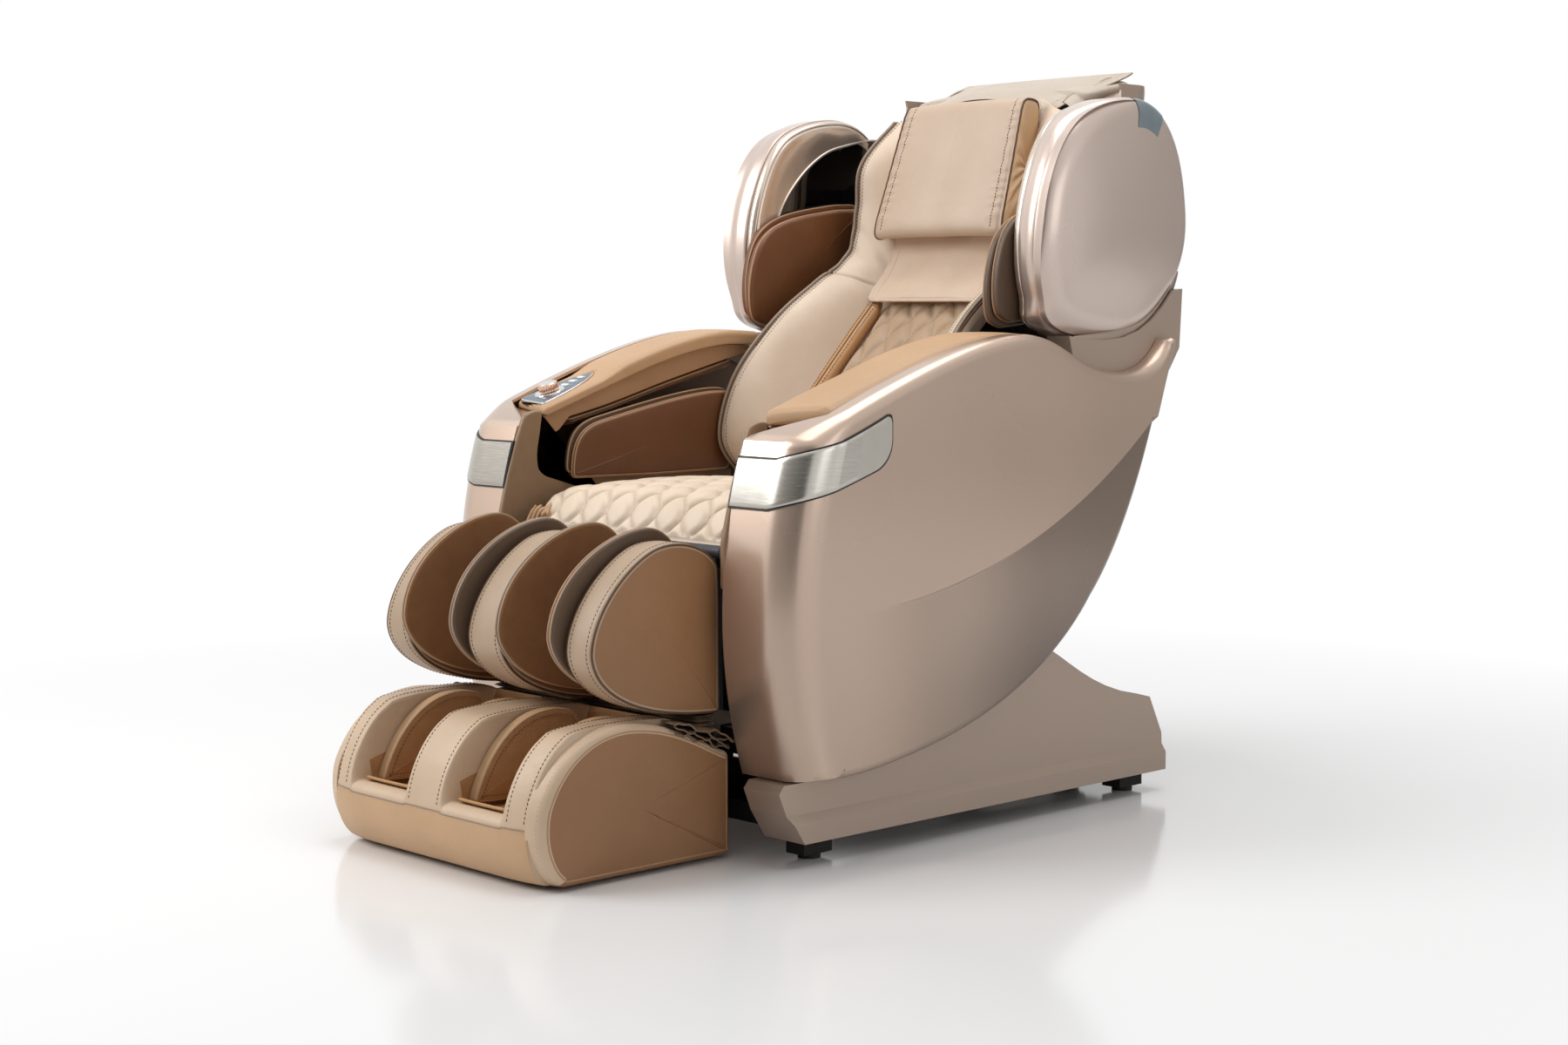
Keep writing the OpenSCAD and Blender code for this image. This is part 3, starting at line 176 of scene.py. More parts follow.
def smooth(t):
    t = np.clip(t, 0, 1)
    return t * t * (3 - 2 * t)


def bow(t):
    """Rises from 0 at t = 0 to 1 at t = 1 along a quarter circle."""
    return 1 - np.sqrt(1 - np.clip(t, 0, 1) ** 2)


def bell(t):
    return np.exp(-(t**2))


def at_x(o, x):
    return np.column_stack([np.broadcast_to(x, len(o)), o])


def about(c, o, f):
    """An outline scaled by f about the point c."""
    return c + f * (o - c)


def inside(q, o):
    """Which points q lie in the outline o, by the even-odd rule."""
    x0, y0 = o.T
    x1, y1 = np.roll(o, -1, 0).T
    x, y = q[:, :1], q[:, 1:2]
    rise = np.where(y1 == y0, 1e-9, y1 - y0)
    crossed = ((y0 > y) != (y1 > y)) & (x < (x1 - x0) * (y - y0) / rise + x0)
    return crossed.sum(1) % 2 == 1


def ring_run(mask):
    """Indices of the one stretch of True along a closed ring."""
    k = np.where(mask)[0]
    gap = np.where(np.diff(k) > 1)[0]
    return np.roll(k, -(gap[0] + 1)) if len(gap) else k


def runs(ok, least):
    """The stretches of True that are longer than least."""
    for run in np.split(np.arange(len(ok)), np.where(np.diff(ok.astype(int)) != 0)[0] + 1):
        if ok[run[0]] and len(run) > least:
            yield run


# ---- surfaces as grids of points ----------------------------------------------------------
def mesh(u, v):
    return np.meshgrid(u, v, indexing="ij")


def normals(P, axis, sign):
    """Unit normals of a grid, turned so that the middle one has this sign along the axis."""
    n = unit(np.cross(np.gradient(P, axis=0), np.gradient(P, axis=1)))
    return n * sign * np.sign(n[P.shape[0] // 2, P.shape[1] // 2, axis])


def border(P, closed=True):
    """A grid's edge as one ring, or without the side of its first row."""
    parts = [P[:, 0], P[-1, 1:], P[-2::-1, -1], P[0, -2:0:-1]]
    return np.concatenate(parts if closed else parts[:3])


def pad_rings(o, x0, x1, r0, r1, b0, b1, k=5, nf=9, fall=2.2):
    """Rings of a padded slab between x0 and x1, with edge radii r0, r1 and swollen faces b0, b1.

    The numbers of the rings where its border begins and ends are returned too.
    """
    rings = []
    oi = inset(o, r0)
    for f in np.linspace(0.03, 1, nf)[:-1]:
        rings.append(at_x(about(oi.mean(0), oi, f), x0 - b0 * (1 - f**fall)))
    for a in np.radians(np.linspace(0, 90, k + 1)):
        rings.append(at_x(inset(o, r0 * (1 - sin(a))), x0 + r0 * (1 - cos(a))))
    for a in np.radians(np.linspace(90, 0, k + 1)):
        rings.append(at_x(inset(o, r1 * (1 - sin(a))), x1 - r1 * (1 - cos(a))))
    oi = inset(o, r1)
    for f in np.linspace(1, 0.03, nf)[1:]:
        rings.append(at_x(about(oi.mean(0), oi, f), x1 + b1 * (1 - f**fall)))
    return A(rings), nf - 1, nf + 2 * k


def zones(rings, cuts, mats):
    """Material numbers of a ring grid's faces, changing at the given rings."""
    return [mats[sum(i >= c for c in cuts)] for i in range(len(rings) - 1) for _ in range(rings.shape[1])]


# ---- mesh building ----------------------------------------------------------------------
class Geo:
    """Collects faces with a material number and a painted shading for each vertex, which darkens or lightens its
    colour; side -1 mirrors what is added.
    """

    def __init__(self, side=1):
        self.side = side
        self.v, self.f, self.m, self.t, self.n = [], [], [], [], 0

    def turned(self, p):
        return A(p) * [self.side, 1, 1]

    def add(self, v, f, m=0, painted_shading=1.0):
        v = self.turned(v).reshape(-1, 3)
        is_array = isinstance(f, np.ndarray)
        self.f += (f + self.n).tolist() if is_array else [[i + self.n for i in q] for q in f]
        self.m += list(m) if np.ndim(m) else [m] * len(f)
        self.v.append(v)
        self.t.append(np.broadcast_to(np.ravel(painted_shading), len(v)).astype(float))
        self.n += len(v)
        return self

    def face(self, ring, m=0):
        return self.add(ring, [list(range(len(ring)))], m)

    def grid(self, p, cu=False, cv=False, m=0, painted_shading=1.0):
        """A grid of points as quads; cu and cv close it along its rows and columns."""
        a, b = p.shape[:2]
        i, j = (k.ravel() for k in mesh(np.arange(a - (not cu)), np.arange(b - (not cv))))
        k, l = (i + 1) % a, (j + 1) % b
        return self.add(p, np.column_stack([i * b + j, k * b + j, k * b + l, i * b + l]), m, painted_shading)

    def disc(self, ring, m=0):
        n = len(ring)
        ring = A(ring)
        return self.add(np.vstack([ring, ring.mean(0)]), [[i, (i + 1) % n, n] for i in range(n)], m)

    def shell(self, rings, m=0):
        """Closed rings joined to a tube with both ends shut."""
        return self.grid(A(rings), cv=True, m=m).disc(rings[0], m).disc(rings[-1], m)

    def tube(self, path, r, k=8, closed=False, m=0):
        """A round tube whose section is carried along the path without twist."""
        path = self.turned(path)
        t = along(path, closed)
        out = np.zeros_like(path)
        q = np.cross(t[0], [0.31, 0.17, 0.93])
        for i in range(len(path)):
            q = unit(q - (q @ t[i]) * t[i])
            out[i] = q
        a = angles(k)[None, :, None]
        round_it = np.cos(a) * out[:, None] + np.sin(a) * np.cross(t, out)[:, None]
        p = self.turned(path[:, None] + np.broadcast_to(r, len(path))[:, None, None] * round_it)
        self.grid(p, cu=closed, cv=True, m=m)
        return self if closed else self.disc(p[0], m).disc(p[-1], m)

    def stitches(self, path, normal, m, thread, closed=False):
        """Single stitches along a path on a surface; thread is their pitch, length and radius."""
        pitch, length, r = thread
        path = self.turned(path)
        normal = np.broadcast_to(self.turned(normal), path.shape)
        count = max(3, int(lengths(path, closed)[1][-1] / pitch))
        q = even(np.hstack([path, normal]), count, closed)
        c, up = q[:, :3], unit(q[:, 3:])
        t = along(c, closed)
        a = angles(6)
        s = A([[x * length / 2, r * f * cos(w), r * f * sin(w)]
               for x, f in ((-1, 0.35), (-0.6, 1), (0.6, 1), (1, 0.35)) for w in a])
        p = c[:, None] + sum(s[None, :, i:i + 1] * d[:, None] for i, d in enumerate((t, up, np.cross(t, up))))
        for one in self.turned(p):
            self.grid(one.reshape(4, 6, 3), cv=True, m=m)
        return self

    def slab(self, o, x, r, swell, mats=(0, 0, 0), cuts=None, bend=A, **kw):
        """A padded slab whose inner face, border and outer face have their own materials."""
        rings, *ends = pad_rings(o, *x, *r, *swell, **kw)
        rings = bend(rings)
        self.grid(rings, cv=True, m=zones(rings, cuts or ends, mats))
        return self.disc(rings[0], mats[0]).disc(rings[-1], mats[-1])

    def piping(self, o, d, x, r, m, bend=A):
        """A cord round an outline moved in by d."""
        return self.tube(bend(at_x(inset(o, d), x)), r, closed=True, m=m)

    def cloth(self, P, N, up, down, m=0, m_back=0, painted_shading=1.0):
        return self.grid(P + N * up, m=m, painted_shading=painted_shading).grid(P - N * down, m=m_back)

    def obj(self, name, mats, body, replaces=(), slot=None, pad=None, angle=0):
        """Makes the piece. It rides on the body, or on that of the first node that it replaces."""
        me = bpy.data.meshes.new(name)
        v = (np.vstack(self.v) - [0, ORIGIN_Y, 0]) * 0.001
        me.from_pydata(v.tolist(), [], self.f)
        for mt in mats:
            me.materials.append(mt)
        me.polygons.foreach_set("material_index", self.m)
        me.polygons.foreach_set("use_smooth", [True] * len(self.f))
        me.attributes.new("painted_shading", "FLOAT", "POINT").data.foreach_set("value", np.concatenate(self.t))
        bm = bmesh.new()
        bm.from_mesh(me)
        bmesh.ops.remove_doubles(bm, verts=bm.verts, dist=2e-6)
        bmesh.ops.recalc_face_normals(bm, faces=bm.faces)
        bm.to_mesh(me)
        bm.free()
        if angle:
            me.set_sharp_from_angle(angle=radians(angle))
        ob = bpy.data.objects.new(name, me)
        bpy.context.scene.collection.objects.link(ob)
        nodes = [replaces] if isinstance(replaces, str) else list(replaces)
        if body or nodes:
            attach(ob, body or frame["nodes"][nodes[0]]["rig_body"])
        if nodes:
            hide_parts(*nodes)
        return ob


# ---- materials --------------------------------------------------------------------------
def node(nt, kind, *args, **kw):
    """A shader node. Values in order or with a capitalised name go to its inputs, and a socket is linked;
    a name in lower case is one of its settings."""
    n = nt.nodes.new("ShaderNode" + kind)
    inputs = dict(enumerate(args))
    for k, v in kw.items():
        if k[0].islower():
            setattr(n, k, v)
        else:
            inputs[k.replace("_", " ")] = v
    for k, v in inputs.items():
        if isinstance(v, bpy.types.NodeSocket):
            nt.links.new(v, n.inputs[k])
        else:
            n.inputs[k].default_value = v
    return n


def srgb(c):
    c = A(c) / 255
    return np.where(c <= 0.04045, c / 12.92, ((c + 0.055) / 1.055) ** 2.4)


class Mat:
    """A Principled material whose colour, roughness and relief come from procedural textures."""

    def __init__(self, name, rough, metal=0.0, **sockets):
        self.m = bpy.data.materials.new(name)
        self.m.use_nodes = True
        self.nt = self.m.node_tree
        self.b = self.nt.nodes["Principled BSDF"]
        for k, v in {"Roughness": rough, "Metallic": metal, **sockets}.items():
            self.b.inputs[k.replace("_", " ")].default_value = v
        self.co = node(self.nt, "TexCoord").outputs["Object"]
        self.relief = {}

    def tex(self, kind, vec=None, **kw):
        return node(self.nt, "Tex" + kind, Vector=vec or self.co, **kw).outputs

    def noise(self, scale, detail=3.0, vec=None, rough=0.55):
        return self.tex("Noise", vec, Scale=scale, Detail=detail, Roughness=rough)["Fac"]

    def map(self, **kw):
        return node(self.nt, "Mapping", self.co, **kw).outputs[0]

    def range(self, fac, lo, hi):
        """Spreads the middle of a noise, 0.3 to 0.7, over lo to hi."""
        return node(self.nt, "MapRange", fac, 0.3, 0.7, lo, hi).outputs[0]

    def colour(self, col, fac, spread=0.05, painted_shading=True, hue=(1.0, 0.985, 0.96)):
        """The colour wanders between a darker and a lighter shade with fac."""
        lo, hi = srgb(col) * (1 - spread) * A(hue), srgb(col) * (1 + spread)
        n = node(self.nt, "Mix", self.range(fac, 0, 1), data_type="RGBA")
        n.inputs[6].default_value = (*lo, 1)
        n.inputs[7].default_value = (*hi, 1)
        out = n.outputs[2]
        # the colour is multiplied by the painted light and shade stored on the mesh's vertices
        if painted_shading:
            t = node(self.nt, "Attribute", attribute_name="painted_shading").outputs["Fac"]
            out = node(self.nt, "VectorMath", out, Scale=t, operation="SCALE").outputs[0]
        self.nt.links.new(out, self.b.inputs["Base Color"])

    def bump(self, fac, distance, strength=1.0):
        n = node(self.nt, "Bump", Height=fac, Distance=distance, Strength=strength, **self.relief)
        self.relief = {"Normal": n.outputs[0]}
        self.nt.links.new(n.outputs[0], self.b.inputs["Normal"])

    def gloss(self, fac, lo, hi):
        self.nt.links.new(self.range(fac, lo, hi), self.b.inputs["Roughness"])


def leather(name, col, lo=0.38, hi=0.52, wave=0.0012, painted_shading=True):
    m = Mat(name, 0.45, Specular_IOR_Level=0.45)
    m.colour(col, m.noise(9, 3), 0.05, painted_shading)
    m.bump(m.noise(26, 3), wave)
    m.bump(m.tex("Voronoi", Scale=620)["Distance"], 0.00022, 0.5)
    m.bump(m.noise(2600, 2), 0.00006, 0.5)
    m.gloss(m.noise(130, 4), lo, hi)
    return m.m


def textile(name, col, pitch, turn):
    """Ribbed cloth: ribs pitch mm apart, turned about x."""
    m = Mat(name, 0.8, Sheen_Weight=0.25, Sheen_Roughness=0.4, Specular_IOR_Level=0.2)
    m.colour(col, m.noise(40, 3), 0.06)
    ribs = m.tex("Wave", m.map(Rotation=(radians(turn), 0, 0)), wave_type="BANDS", bands_direction="Z",
                 Scale=2 * pi / (20 * pitch * 0.001), Distortion=0.6, Detail=1)
    m.bump(ribs["Fac"], 0.0004, 0.6)
    m.bump(m.noise(1800, 2), 0.0001, 0.6)
    m.gloss(m.noise(300, 2), 0.74, 0.86)
    return m.m


def paint(name, col, metal=0.62, lo=0.26, hi=0.34, coat=0.5, painted_shading=True):
    m = Mat(name, 0.3, metal, Coat_Weight=coat, Coat_Roughness=0.12)
    m.colour(col, m.noise(2400, 2), 0.05, painted_shading, hue=(1, 1, 1))
    m.bump(m.noise(320, 2), 0.00002)
    m.gloss(m.noise(2.5, 1), lo, hi)
    return m.m


def plain(name, col, rough=0.5, metal=0.0, scale=900, depth=0.00008, spread=0.07, **k):
    m = Mat(name, rough, metal, **k)
    m.colour(col, m.noise(35, 4), spread, False)
    m.bump(m.noise(scale, 3), depth)
    m.gloss(m.noise(60, 3), max(0.02, rough - 0.06), rough + 0.06)
    return m.m


def brushed(name, col, across, lo, hi):
    m = Mat(name, 0.28, 1.0)
    line = m.noise(1.0, 4, m.map(Scale=across), 0.7)
    m.colour(col, line, 0.07, False, hue=(1, 1, 1))
    m.bump(line, 0.00003)
    m.gloss(line, lo, hi)
    return m.m


SHELL = paint("champagne_paint", (188, 165, 148), metal=0.72)
SHELL_POD = paint("champagne_paint_pod", (204, 186, 175))
SHELL_IN = paint("pod_inner_paint", (214, 198, 184), metal=0.7, lo=0.16, hi=0.24)
BASE = paint("base_paint", (175, 155, 140), metal=0.45, lo=0.36, hi=0.46, coat=0.2, painted_shading=False)
STEEL = brushed("brushed_steel", (186, 182, 174), (25, 25, 700), 0.22, 0.28)
PLATE = brushed("console_plate", (120, 132, 142), (900, 30, 30), 0.25, 0.36)
ROSE = brushed("rose_metal", (226, 188, 164), (30, 30, 900), 0.12, 0.22)
SEAT = leather("seat_leather", (234, 214, 192))
PALE = leather("pale_leather", (206, 180, 153))
QUILT = leather("quilt_leather", (176, 148, 120))
BACK = leather("back_leather", (212, 188, 166))
BACK_SIDE = leather("back_pad_leather", (221, 201, 180))
PILLOW = leather("pillow_leather", (197, 174, 153))
COVER = leather("cover_leather", (189, 175, 160))
STRIP = leather("calf_edge_leather", (180, 156, 132))
TAN = leather("tan_leather", (196, 160, 122))
CARAMEL = leather("caramel_leather", (184, 138, 92))
CARAMEL_TOP = leather("armrest_leather", (196, 158, 120), 0.4, 0.5, wave=0.0005)
SIDE = leather("side_leather", (152, 110, 74))
HIPB = leather("hip_leather", (102, 63, 34))
BROWN = leather("brown_leather", (116, 72, 40))
FOLD = leather("fold_cloth", (120, 98, 78), wave=0.002)
FIN = leather("fin_cloth", (96, 76, 60), wave=0.0006)
FIN_EDGE = leather("fin_edge", (176, 150, 124), wave=0.0004)
PIPE = leather("piping", (178, 140, 106), wave=0.0003)
PIPE_DARK = leather("piping_dark", (96, 66, 42), wave=0.0003)
PIPE_GREY = leather("piping_grey", (150, 132, 114), wave=0.0003)
LEDGE = leather("ledge_leather", (170, 132, 98), painted_shading=False)
THREAD = plain("thread", (226, 205, 178), 0.7, scale=4000, depth=0.0001)
THREAD_DARK = plain("thread_dark", (96, 68, 46), 0.7, scale=4000, depth=0.0001)
RIB = textile("rib_cloth", (176, 132, 90), 2.0, 35)
LENS = textile("calf_cloth", (140, 98, 62), 1.5, 90)
LINER = plain("liner_plastic", (146, 118, 90), 0.45)
WELL = plain("well_cloth", (98, 72, 52), 0.8, depth=0.0003)
BLACK = plain("black_plastic", (22, 20, 20), 0.5, depth=0.0002)
GLASS = plain("window_black", (8, 6, 6), 0.06, spread=0.02, depth=0.000002, Coat_Weight=1.0)
FROST = plain("frosted_badge", (186, 182, 174), 0.4, 0.6, depth=0.00001, spread=0.02)
CHROME = plain("chrome", (215, 215, 218), 0.1, 1.0, depth=0.00001, spread=0.02)
RUBBER = plain("rubber", (26, 24, 23), 0.75, depth=0.0003)
IRON = plain("powder_coat", (52, 52, 54), 0.5, 0.3, depth=0.00015)
ZINC = plain("zinc_steel", (130, 132, 136), 0.35, 0.9)
INSERT = plain("grey_blue_insert", (128, 142, 150), 0.32, 0.25, depth=0.00002)
KEYS = plain("key_plastic", (232, 236, 240), 0.3)
RED = plain("switch_red", (130, 26, 24), 0.35)

# ---- CAD nodes that keep their own shape --------------------------------------------------
KEEP = {
    "base_cover": BASE, "base_frame": IRON, "base_feet": RUBBER, "control_box": BLACK, "air_pump": IRON,
    "recess_panel": BLACK, "inlet_plate": BLACK, "power_switch": RED, "transport_wheels": RUBBER,
    "seat_frame": IRON, "seat_pan": BLACK, "seat_apron": BLACK, "back_frame": IRON,
    "massage_carriage": ZINC, "roller_upper": RUBBER, "roller_lower": RUBBER, "leg_frame": IRON,
    "foot_rollers": RUBBER, "back_shell": BASE, "neck_covers": BASE, "pod_inserts": INSERT,
    "arm_ledges": LEDGE, "arm_liner_left": WELL, "arm_liner_right": WELL,
}
for name, mat in KEEP.items():
    me = frame["nodes"][name].data
    me.materials.clear()
    me.materials.append(mat)

# ---- arm housings -------------------------------------------------------------------------
GX, AX = 270.0, 410.0  # inner and outer faces of the arm housings
WALL, CORNER, RIM, DEPTH = 5.0, 62.0, 22.0, 13.5  # wall; edge radii at the front, on top and below
ARM_LOW, ARM_TOP, MID, FRONT_TOP = 126.0, 768.0, 365.0, 617
TIP, CREST, NOTCH, HEEL = A([[864, 748], [479, ARM_TOP], [735, 705], [652, 346]])
EDGES = {"front": (CORNER, GX), "low": (DEPTH, AX - 15), "top": (RIM, AX - 38)}  # radius, x of the rim


def front_y(z):
    """The front edge is hollow: deepest at MID."""
    return 6 - 42 * (1 - ((z - MID) / 247) ** 2)


def arm_parts():
    """Pieces of the outline, with the kinds of edge at their start and end."""
    z = np.linspace(MID, ARM_LOW, 26)
    yield np.column_stack([front_y(z), z]), "front", "front"
    low = [[front_y(ARM_LOW) + 4, ARM_LOW], [30, ARM_LOW], [50, ARM_LOW], [76, ARM_LOW]]
    yield bez(low, 8), "front", "low"
    yield bez([[76, ARM_LOW], [120, ARM_LOW], [170, 132], [231, 143]], 15), "low", "low"
    yield bez([[231, 143], [400, 170], [560, 240], HEEL], 35), "low", "low"
    yield bez([HEEL, HEEL + [108, 104], TIP - [34, 108], TIP], 45), "low", "low"
    yield arc(TIP + [-9, 2], 10, -10, 120, 8), "low", "low"
    yield bez([TIP + [-22, 9], [820, 728], [790, 705], NOTCH], 20), "top", "top"
    yield bez([NOTCH, [610, 705], [585, ARM_TOP], CREST], 30), "top", "top"
    yield bez([CREST, [370, ARM_TOP], [200, 705], [76, 655]], 40), "top", "top"
    yield bez([[76, 655], [52, 644], [30, 632], [8, 618]], 8), "top", "front"
    z = np.linspace(FRONT_TOP, MID + 6, 30)
    yield np.column_stack([front_y(z), z]), "front", "front"


def arm_data():
    """The outline with its inward rounding as a vector, its edge radius and the x of its rim."""
    o, edge, kinds = [], [], []
    for p, a, b in arm_parts():
        o.append(p)
        edge.append(A(EDGES[a]) + np.linspace(0, 1, len(p))[:, None] * (A(EDGES[b]) - EDGES[a]))
        kinds += [a if a == b else "turn"] * len(p)
    o, kinds = np.vstack(o), np.array(kinds)
    r, rim = np.vstack(edge).T
    sharp_tip = np.minimum(1, 0.35 + np.linalg.norm(o - TIP, axis=1) / 90)
    v = left_of(o) * (sharp_tip * r)[:, None]
    front, turn = kinds == "front", kinds == "turn"
    v[front] = [CORNER, 0]
    k = np.arange(len(o))
    for c in (0, 1):
        v[turn, c] = np.interp(k[turn], k[~turn], v[~turn, c])
    # lift the ends of the front so that its corners stay rounded
    v[:, 1] += bell((o[:, 1] - ARM_LOW) / 16) * front * (o[:, 1] < 300) * DEPTH
    v[:, 1] -= bell((FRONT_TOP - o[:, 1]) / 30) * front * (o[:, 1] > 400) * 14
    return o, relax(v, 4), relax(r, 4), rim


ARM_O, ARM_V, ARM_R, ARM_RIM = arm_data()
CREASE = joined(  # the form line
    ([[30, 365], [320, 362], [600, 455], [836, 655]], 110),
    [[838, 657], [846, 664], [852, 669], [858, 675], [870, 690]])


def under_crease(p):
    return np.interp(p[..., 0], CREASE[:, 0], CREASE[:, 1]) - p[..., 1]


def side_x(p):
    """Outer face of the housing: it crowns, falls in to the rear, and tucks in under the form line."""
    slope = np.interp(p[:, 0], CREASE[:, 0], np.gradient(CREASE[:, 1], CREASE[:, 0]))
    s = under_crease(p) / np.sqrt(1 + slope**2)
    tuck = 10.0 * smooth((p[:, 0] - 90) / 640) * smooth((s + 0.6) / 2.6)
    fade = 0.75 + 0.25 * np.exp(-np.maximum(s, 0) / 90)
    crown = -2.75 * np.clip(((p[:, 0] - 330) / 560) ** 2 + ((p[:, 1] - 470) / 420) ** 2, 0, 1)
    rear = 9.0 * np.clip((p[:, 0] - 420) / 440, 0, 1) ** 2
    return AX - tuck * fade + crown - rear


def arm_painted_shading(p):
    """Painted light and shade on the housing: the panel under the form line is painted darker, more so towards its
    rear and its foot, the rear as a whole a little darker, and the top lighter.
    """
    y, z = p[..., 0], p[..., 1]
    dark = 0.17 * smooth((y - 90) / 180) + 0.30 * smooth((y - 320) / 220)
    dark = dark + 0.22 * smooth((420 - z) / 220) * smooth((y - 160) / 240)
    dark = dark * smooth(under_crease(p) / 5) + 0.08 * smooth((y - 500) / 250)
    return 1 + 0.12 * smooth((z - 560) / 150) - dark


def clear_of(points, line, gap_squared):
    return np.array([((q - line) ** 2).sum(1).min() >= gap_squared for q in points])


def arm_shell(side):
    """A thin shell: its inside, its rim, the rounded edge, and the outer face within that edge."""
    g = Geo(side)
    o, v, r = ARM_O, ARM_V, ARM_R
    fx = side_x(o + v)
    rim = np.minimum(ARM_RIM, fx - r - 0.5)
    rings = [np.column_stack([x, o + f * v + w * WALL * unit(v)]) for f, w, x in (
        (1, 0, fx - WALL), (0.29, 0.7, fx - 0.29 * r - 0.7 * WALL), (0, 1, fx - r), (0, 1, rim), (0, 0, rim))]
    rings += [np.column_stack([fx - r * (1 - sin(a)), o + (1 - cos(a)) * v])
              for a in np.radians(np.linspace(0, 90, 13))]
    rings += [at_x(q, side_x(q)) for q in (o + f * v for f in (1.1, 1.2, 1.3))]
    rings = A(rings)
    x, y, z = np.moveaxis(rings, -1, 0)
    # painted highlight: the front of the housing is painted lighter
    painted_front_highlight = smooth((AX - 36 - x) / 40) * (y < 24) * smooth((z - 180) / 260) * (z < 640)
    g.grid(rings, cv=True, painted_shading=arm_painted_shading(rings[..., 1:]) + 0.4 * painted_front_highlight)

    # the outer face: shaken grid points and lines beside the form line, triangulated
    face = rings[-1][:, 1:]
    step, shake = 12, 1.8
    pts = np.stack(np.meshgrid(np.arange(-40, 880, step), np.arange(120, 780, step)), -1).reshape(-1, 2)
    pts = pts + rng.uniform(-shake, shake, pts.shape)
    below = along(CREASE)[:, ::-1] * [1, -1]
    beside = [CREASE + k * below for k in (-9, -4, -0.9, 0.1, 1.1, 2.4, 5, 10)]
    pts = np.vstack([pts[clear_of(pts, CREASE, 190)], *beside])
    pts = pts[inside(pts, face) & clear_of(pts, face, 9)]
    corners = [Vector(p) for p in np.vstack([face, pts])]
    verts, _, faces, *_ = delaunay_2d_cdt(corners, [], [list(range(len(face)))], 1, 1e-4)
    verts = A([list(p) for p in verts])
    return g.add(at_x(verts, side_x(verts)), [list(f) for f in faces], painted_shading=arm_painted_shading(verts))


for s, nm in SIDES:
    arm_shell(s).obj("housing_" + nm, [SHELL], "chassis", "arm_shell_" + nm, slot="shell", angle=35)


# ---- bright bands -------------------------------------------------------------------------
BAND_LOW, BAND_HIGH, BAND_END = 522, 592, 170
BAND_LIFT, BAND_SLOPE = 24, 0.357  # it climbs round the corner and along the side
ROUND_LOW, ROUND_HIGH = 32, 13  # corners of its rear end


def band(g, off, grow, edge, badge_from=99):
    """Band round the front, the corner and back along the side, off mm proud of the housing.

    s runs from 0 to 1 along the front, to 2 round the corner and to 3 along the side.
    """
    rows = []
    for s in np.r_[np.linspace(0, 1, 7), 1 + np.linspace(0, 1, 13)[1:], 2 + np.linspace(0, 1, 41)[1:] ** 0.8]:
        rise = BAND_LIFT * min(max(s - 1, 0), 1) + max(s - 2, 0) * (BAND_END + grow - CORNER) * BAND_SLOPE
        e = (3 - s) * (BAND_END - CORNER + grow)  # distance from the rear end
        lo = BAND_LOW + rise + ROUND_LOW * bow(1 - e / ROUND_LOW) - grow
        hi = BAND_HIGH + rise - ROUND_HIGH * bow(1 - e / ROUND_HIGH) + grow
        z = np.r_[lo, lo, lo + (hi - lo) * np.linspace(0.012, 0.988, 12), hi, hi]
        o = np.r_[-1.0, off - edge, np.full(12, off), off - edge, -1.0]
        y = front_y(z)
        if s <= 1:
            x, y = GX + (AX - CORNER - GX) * s - grow * (s == 0), y - o
        elif s <= 2:
            a = (s - 1) * pi / 2
            x, y = AX - CORNER + (CORNER - 2.75 + o) * sin(a), y + CORNER - (CORNER + o) * cos(a)
        else:
            y = y + CORNER + (s - 2) * (BAND_END + grow - y - CORNER)
            x = side_x(np.column_stack([y, z])) + o
        rows.append(at_x(np.column_stack([y, z]), x))
    rows = A(rows)
    g.grid(rows, m=[int(i > badge_from) for i in range(len(rows) - 1) for _ in range(rows.shape[1] - 1)])
    return g.face(rows[0]).face(rows[-1])


for s, nm in SIDES:
    band(Geo(s), 3.4, 0, 0.5, 29).obj("trim_band_" + nm, [STEEL, FROST], "chassis",
                                      ["arm_trims"] if s > 0 else (), slot="bright_metal", angle=40)
    band(Geo(s), 2.3, 2.8, 0.1).obj("trim_gap_" + nm, [BLACK], "chassis", angle=40)


# ---- armrests, airbags, hip pads ------------------------------------------------------------
REST = A([[56, 632], [177, 674], [327, 722], [446, 744], [538, 742]])
PAD_X, PAD_W, PAD_T = GX - 12, 112.0, 24.0  # inner edge, width and thickness of the armrest's pad
SUNK = -6.5  # the pad's surface under the console, in the console's own frame
CON = A([-314.0, 112.0, 664.0])
CON_TURN = radians(19.5)
CON_R = A([[1, 0, 0], [0, cos(CON_TURN), -sin(CON_TURN)], [0, sin(CON_TURN), cos(CON_TURN)]])
CON_O = outline(
    140, 2, [[-38, -34], [34, -46]], ([[38, -42], [40, 20], [24, 72], [4, 96]], 16),
    ([[4, 96], [-24, 84], [-40, 20], [-42, -30]], 16))


def con_out(p):
    """From the console's frame to the chair's."""
    return A(p) @ CON_R.T + CON


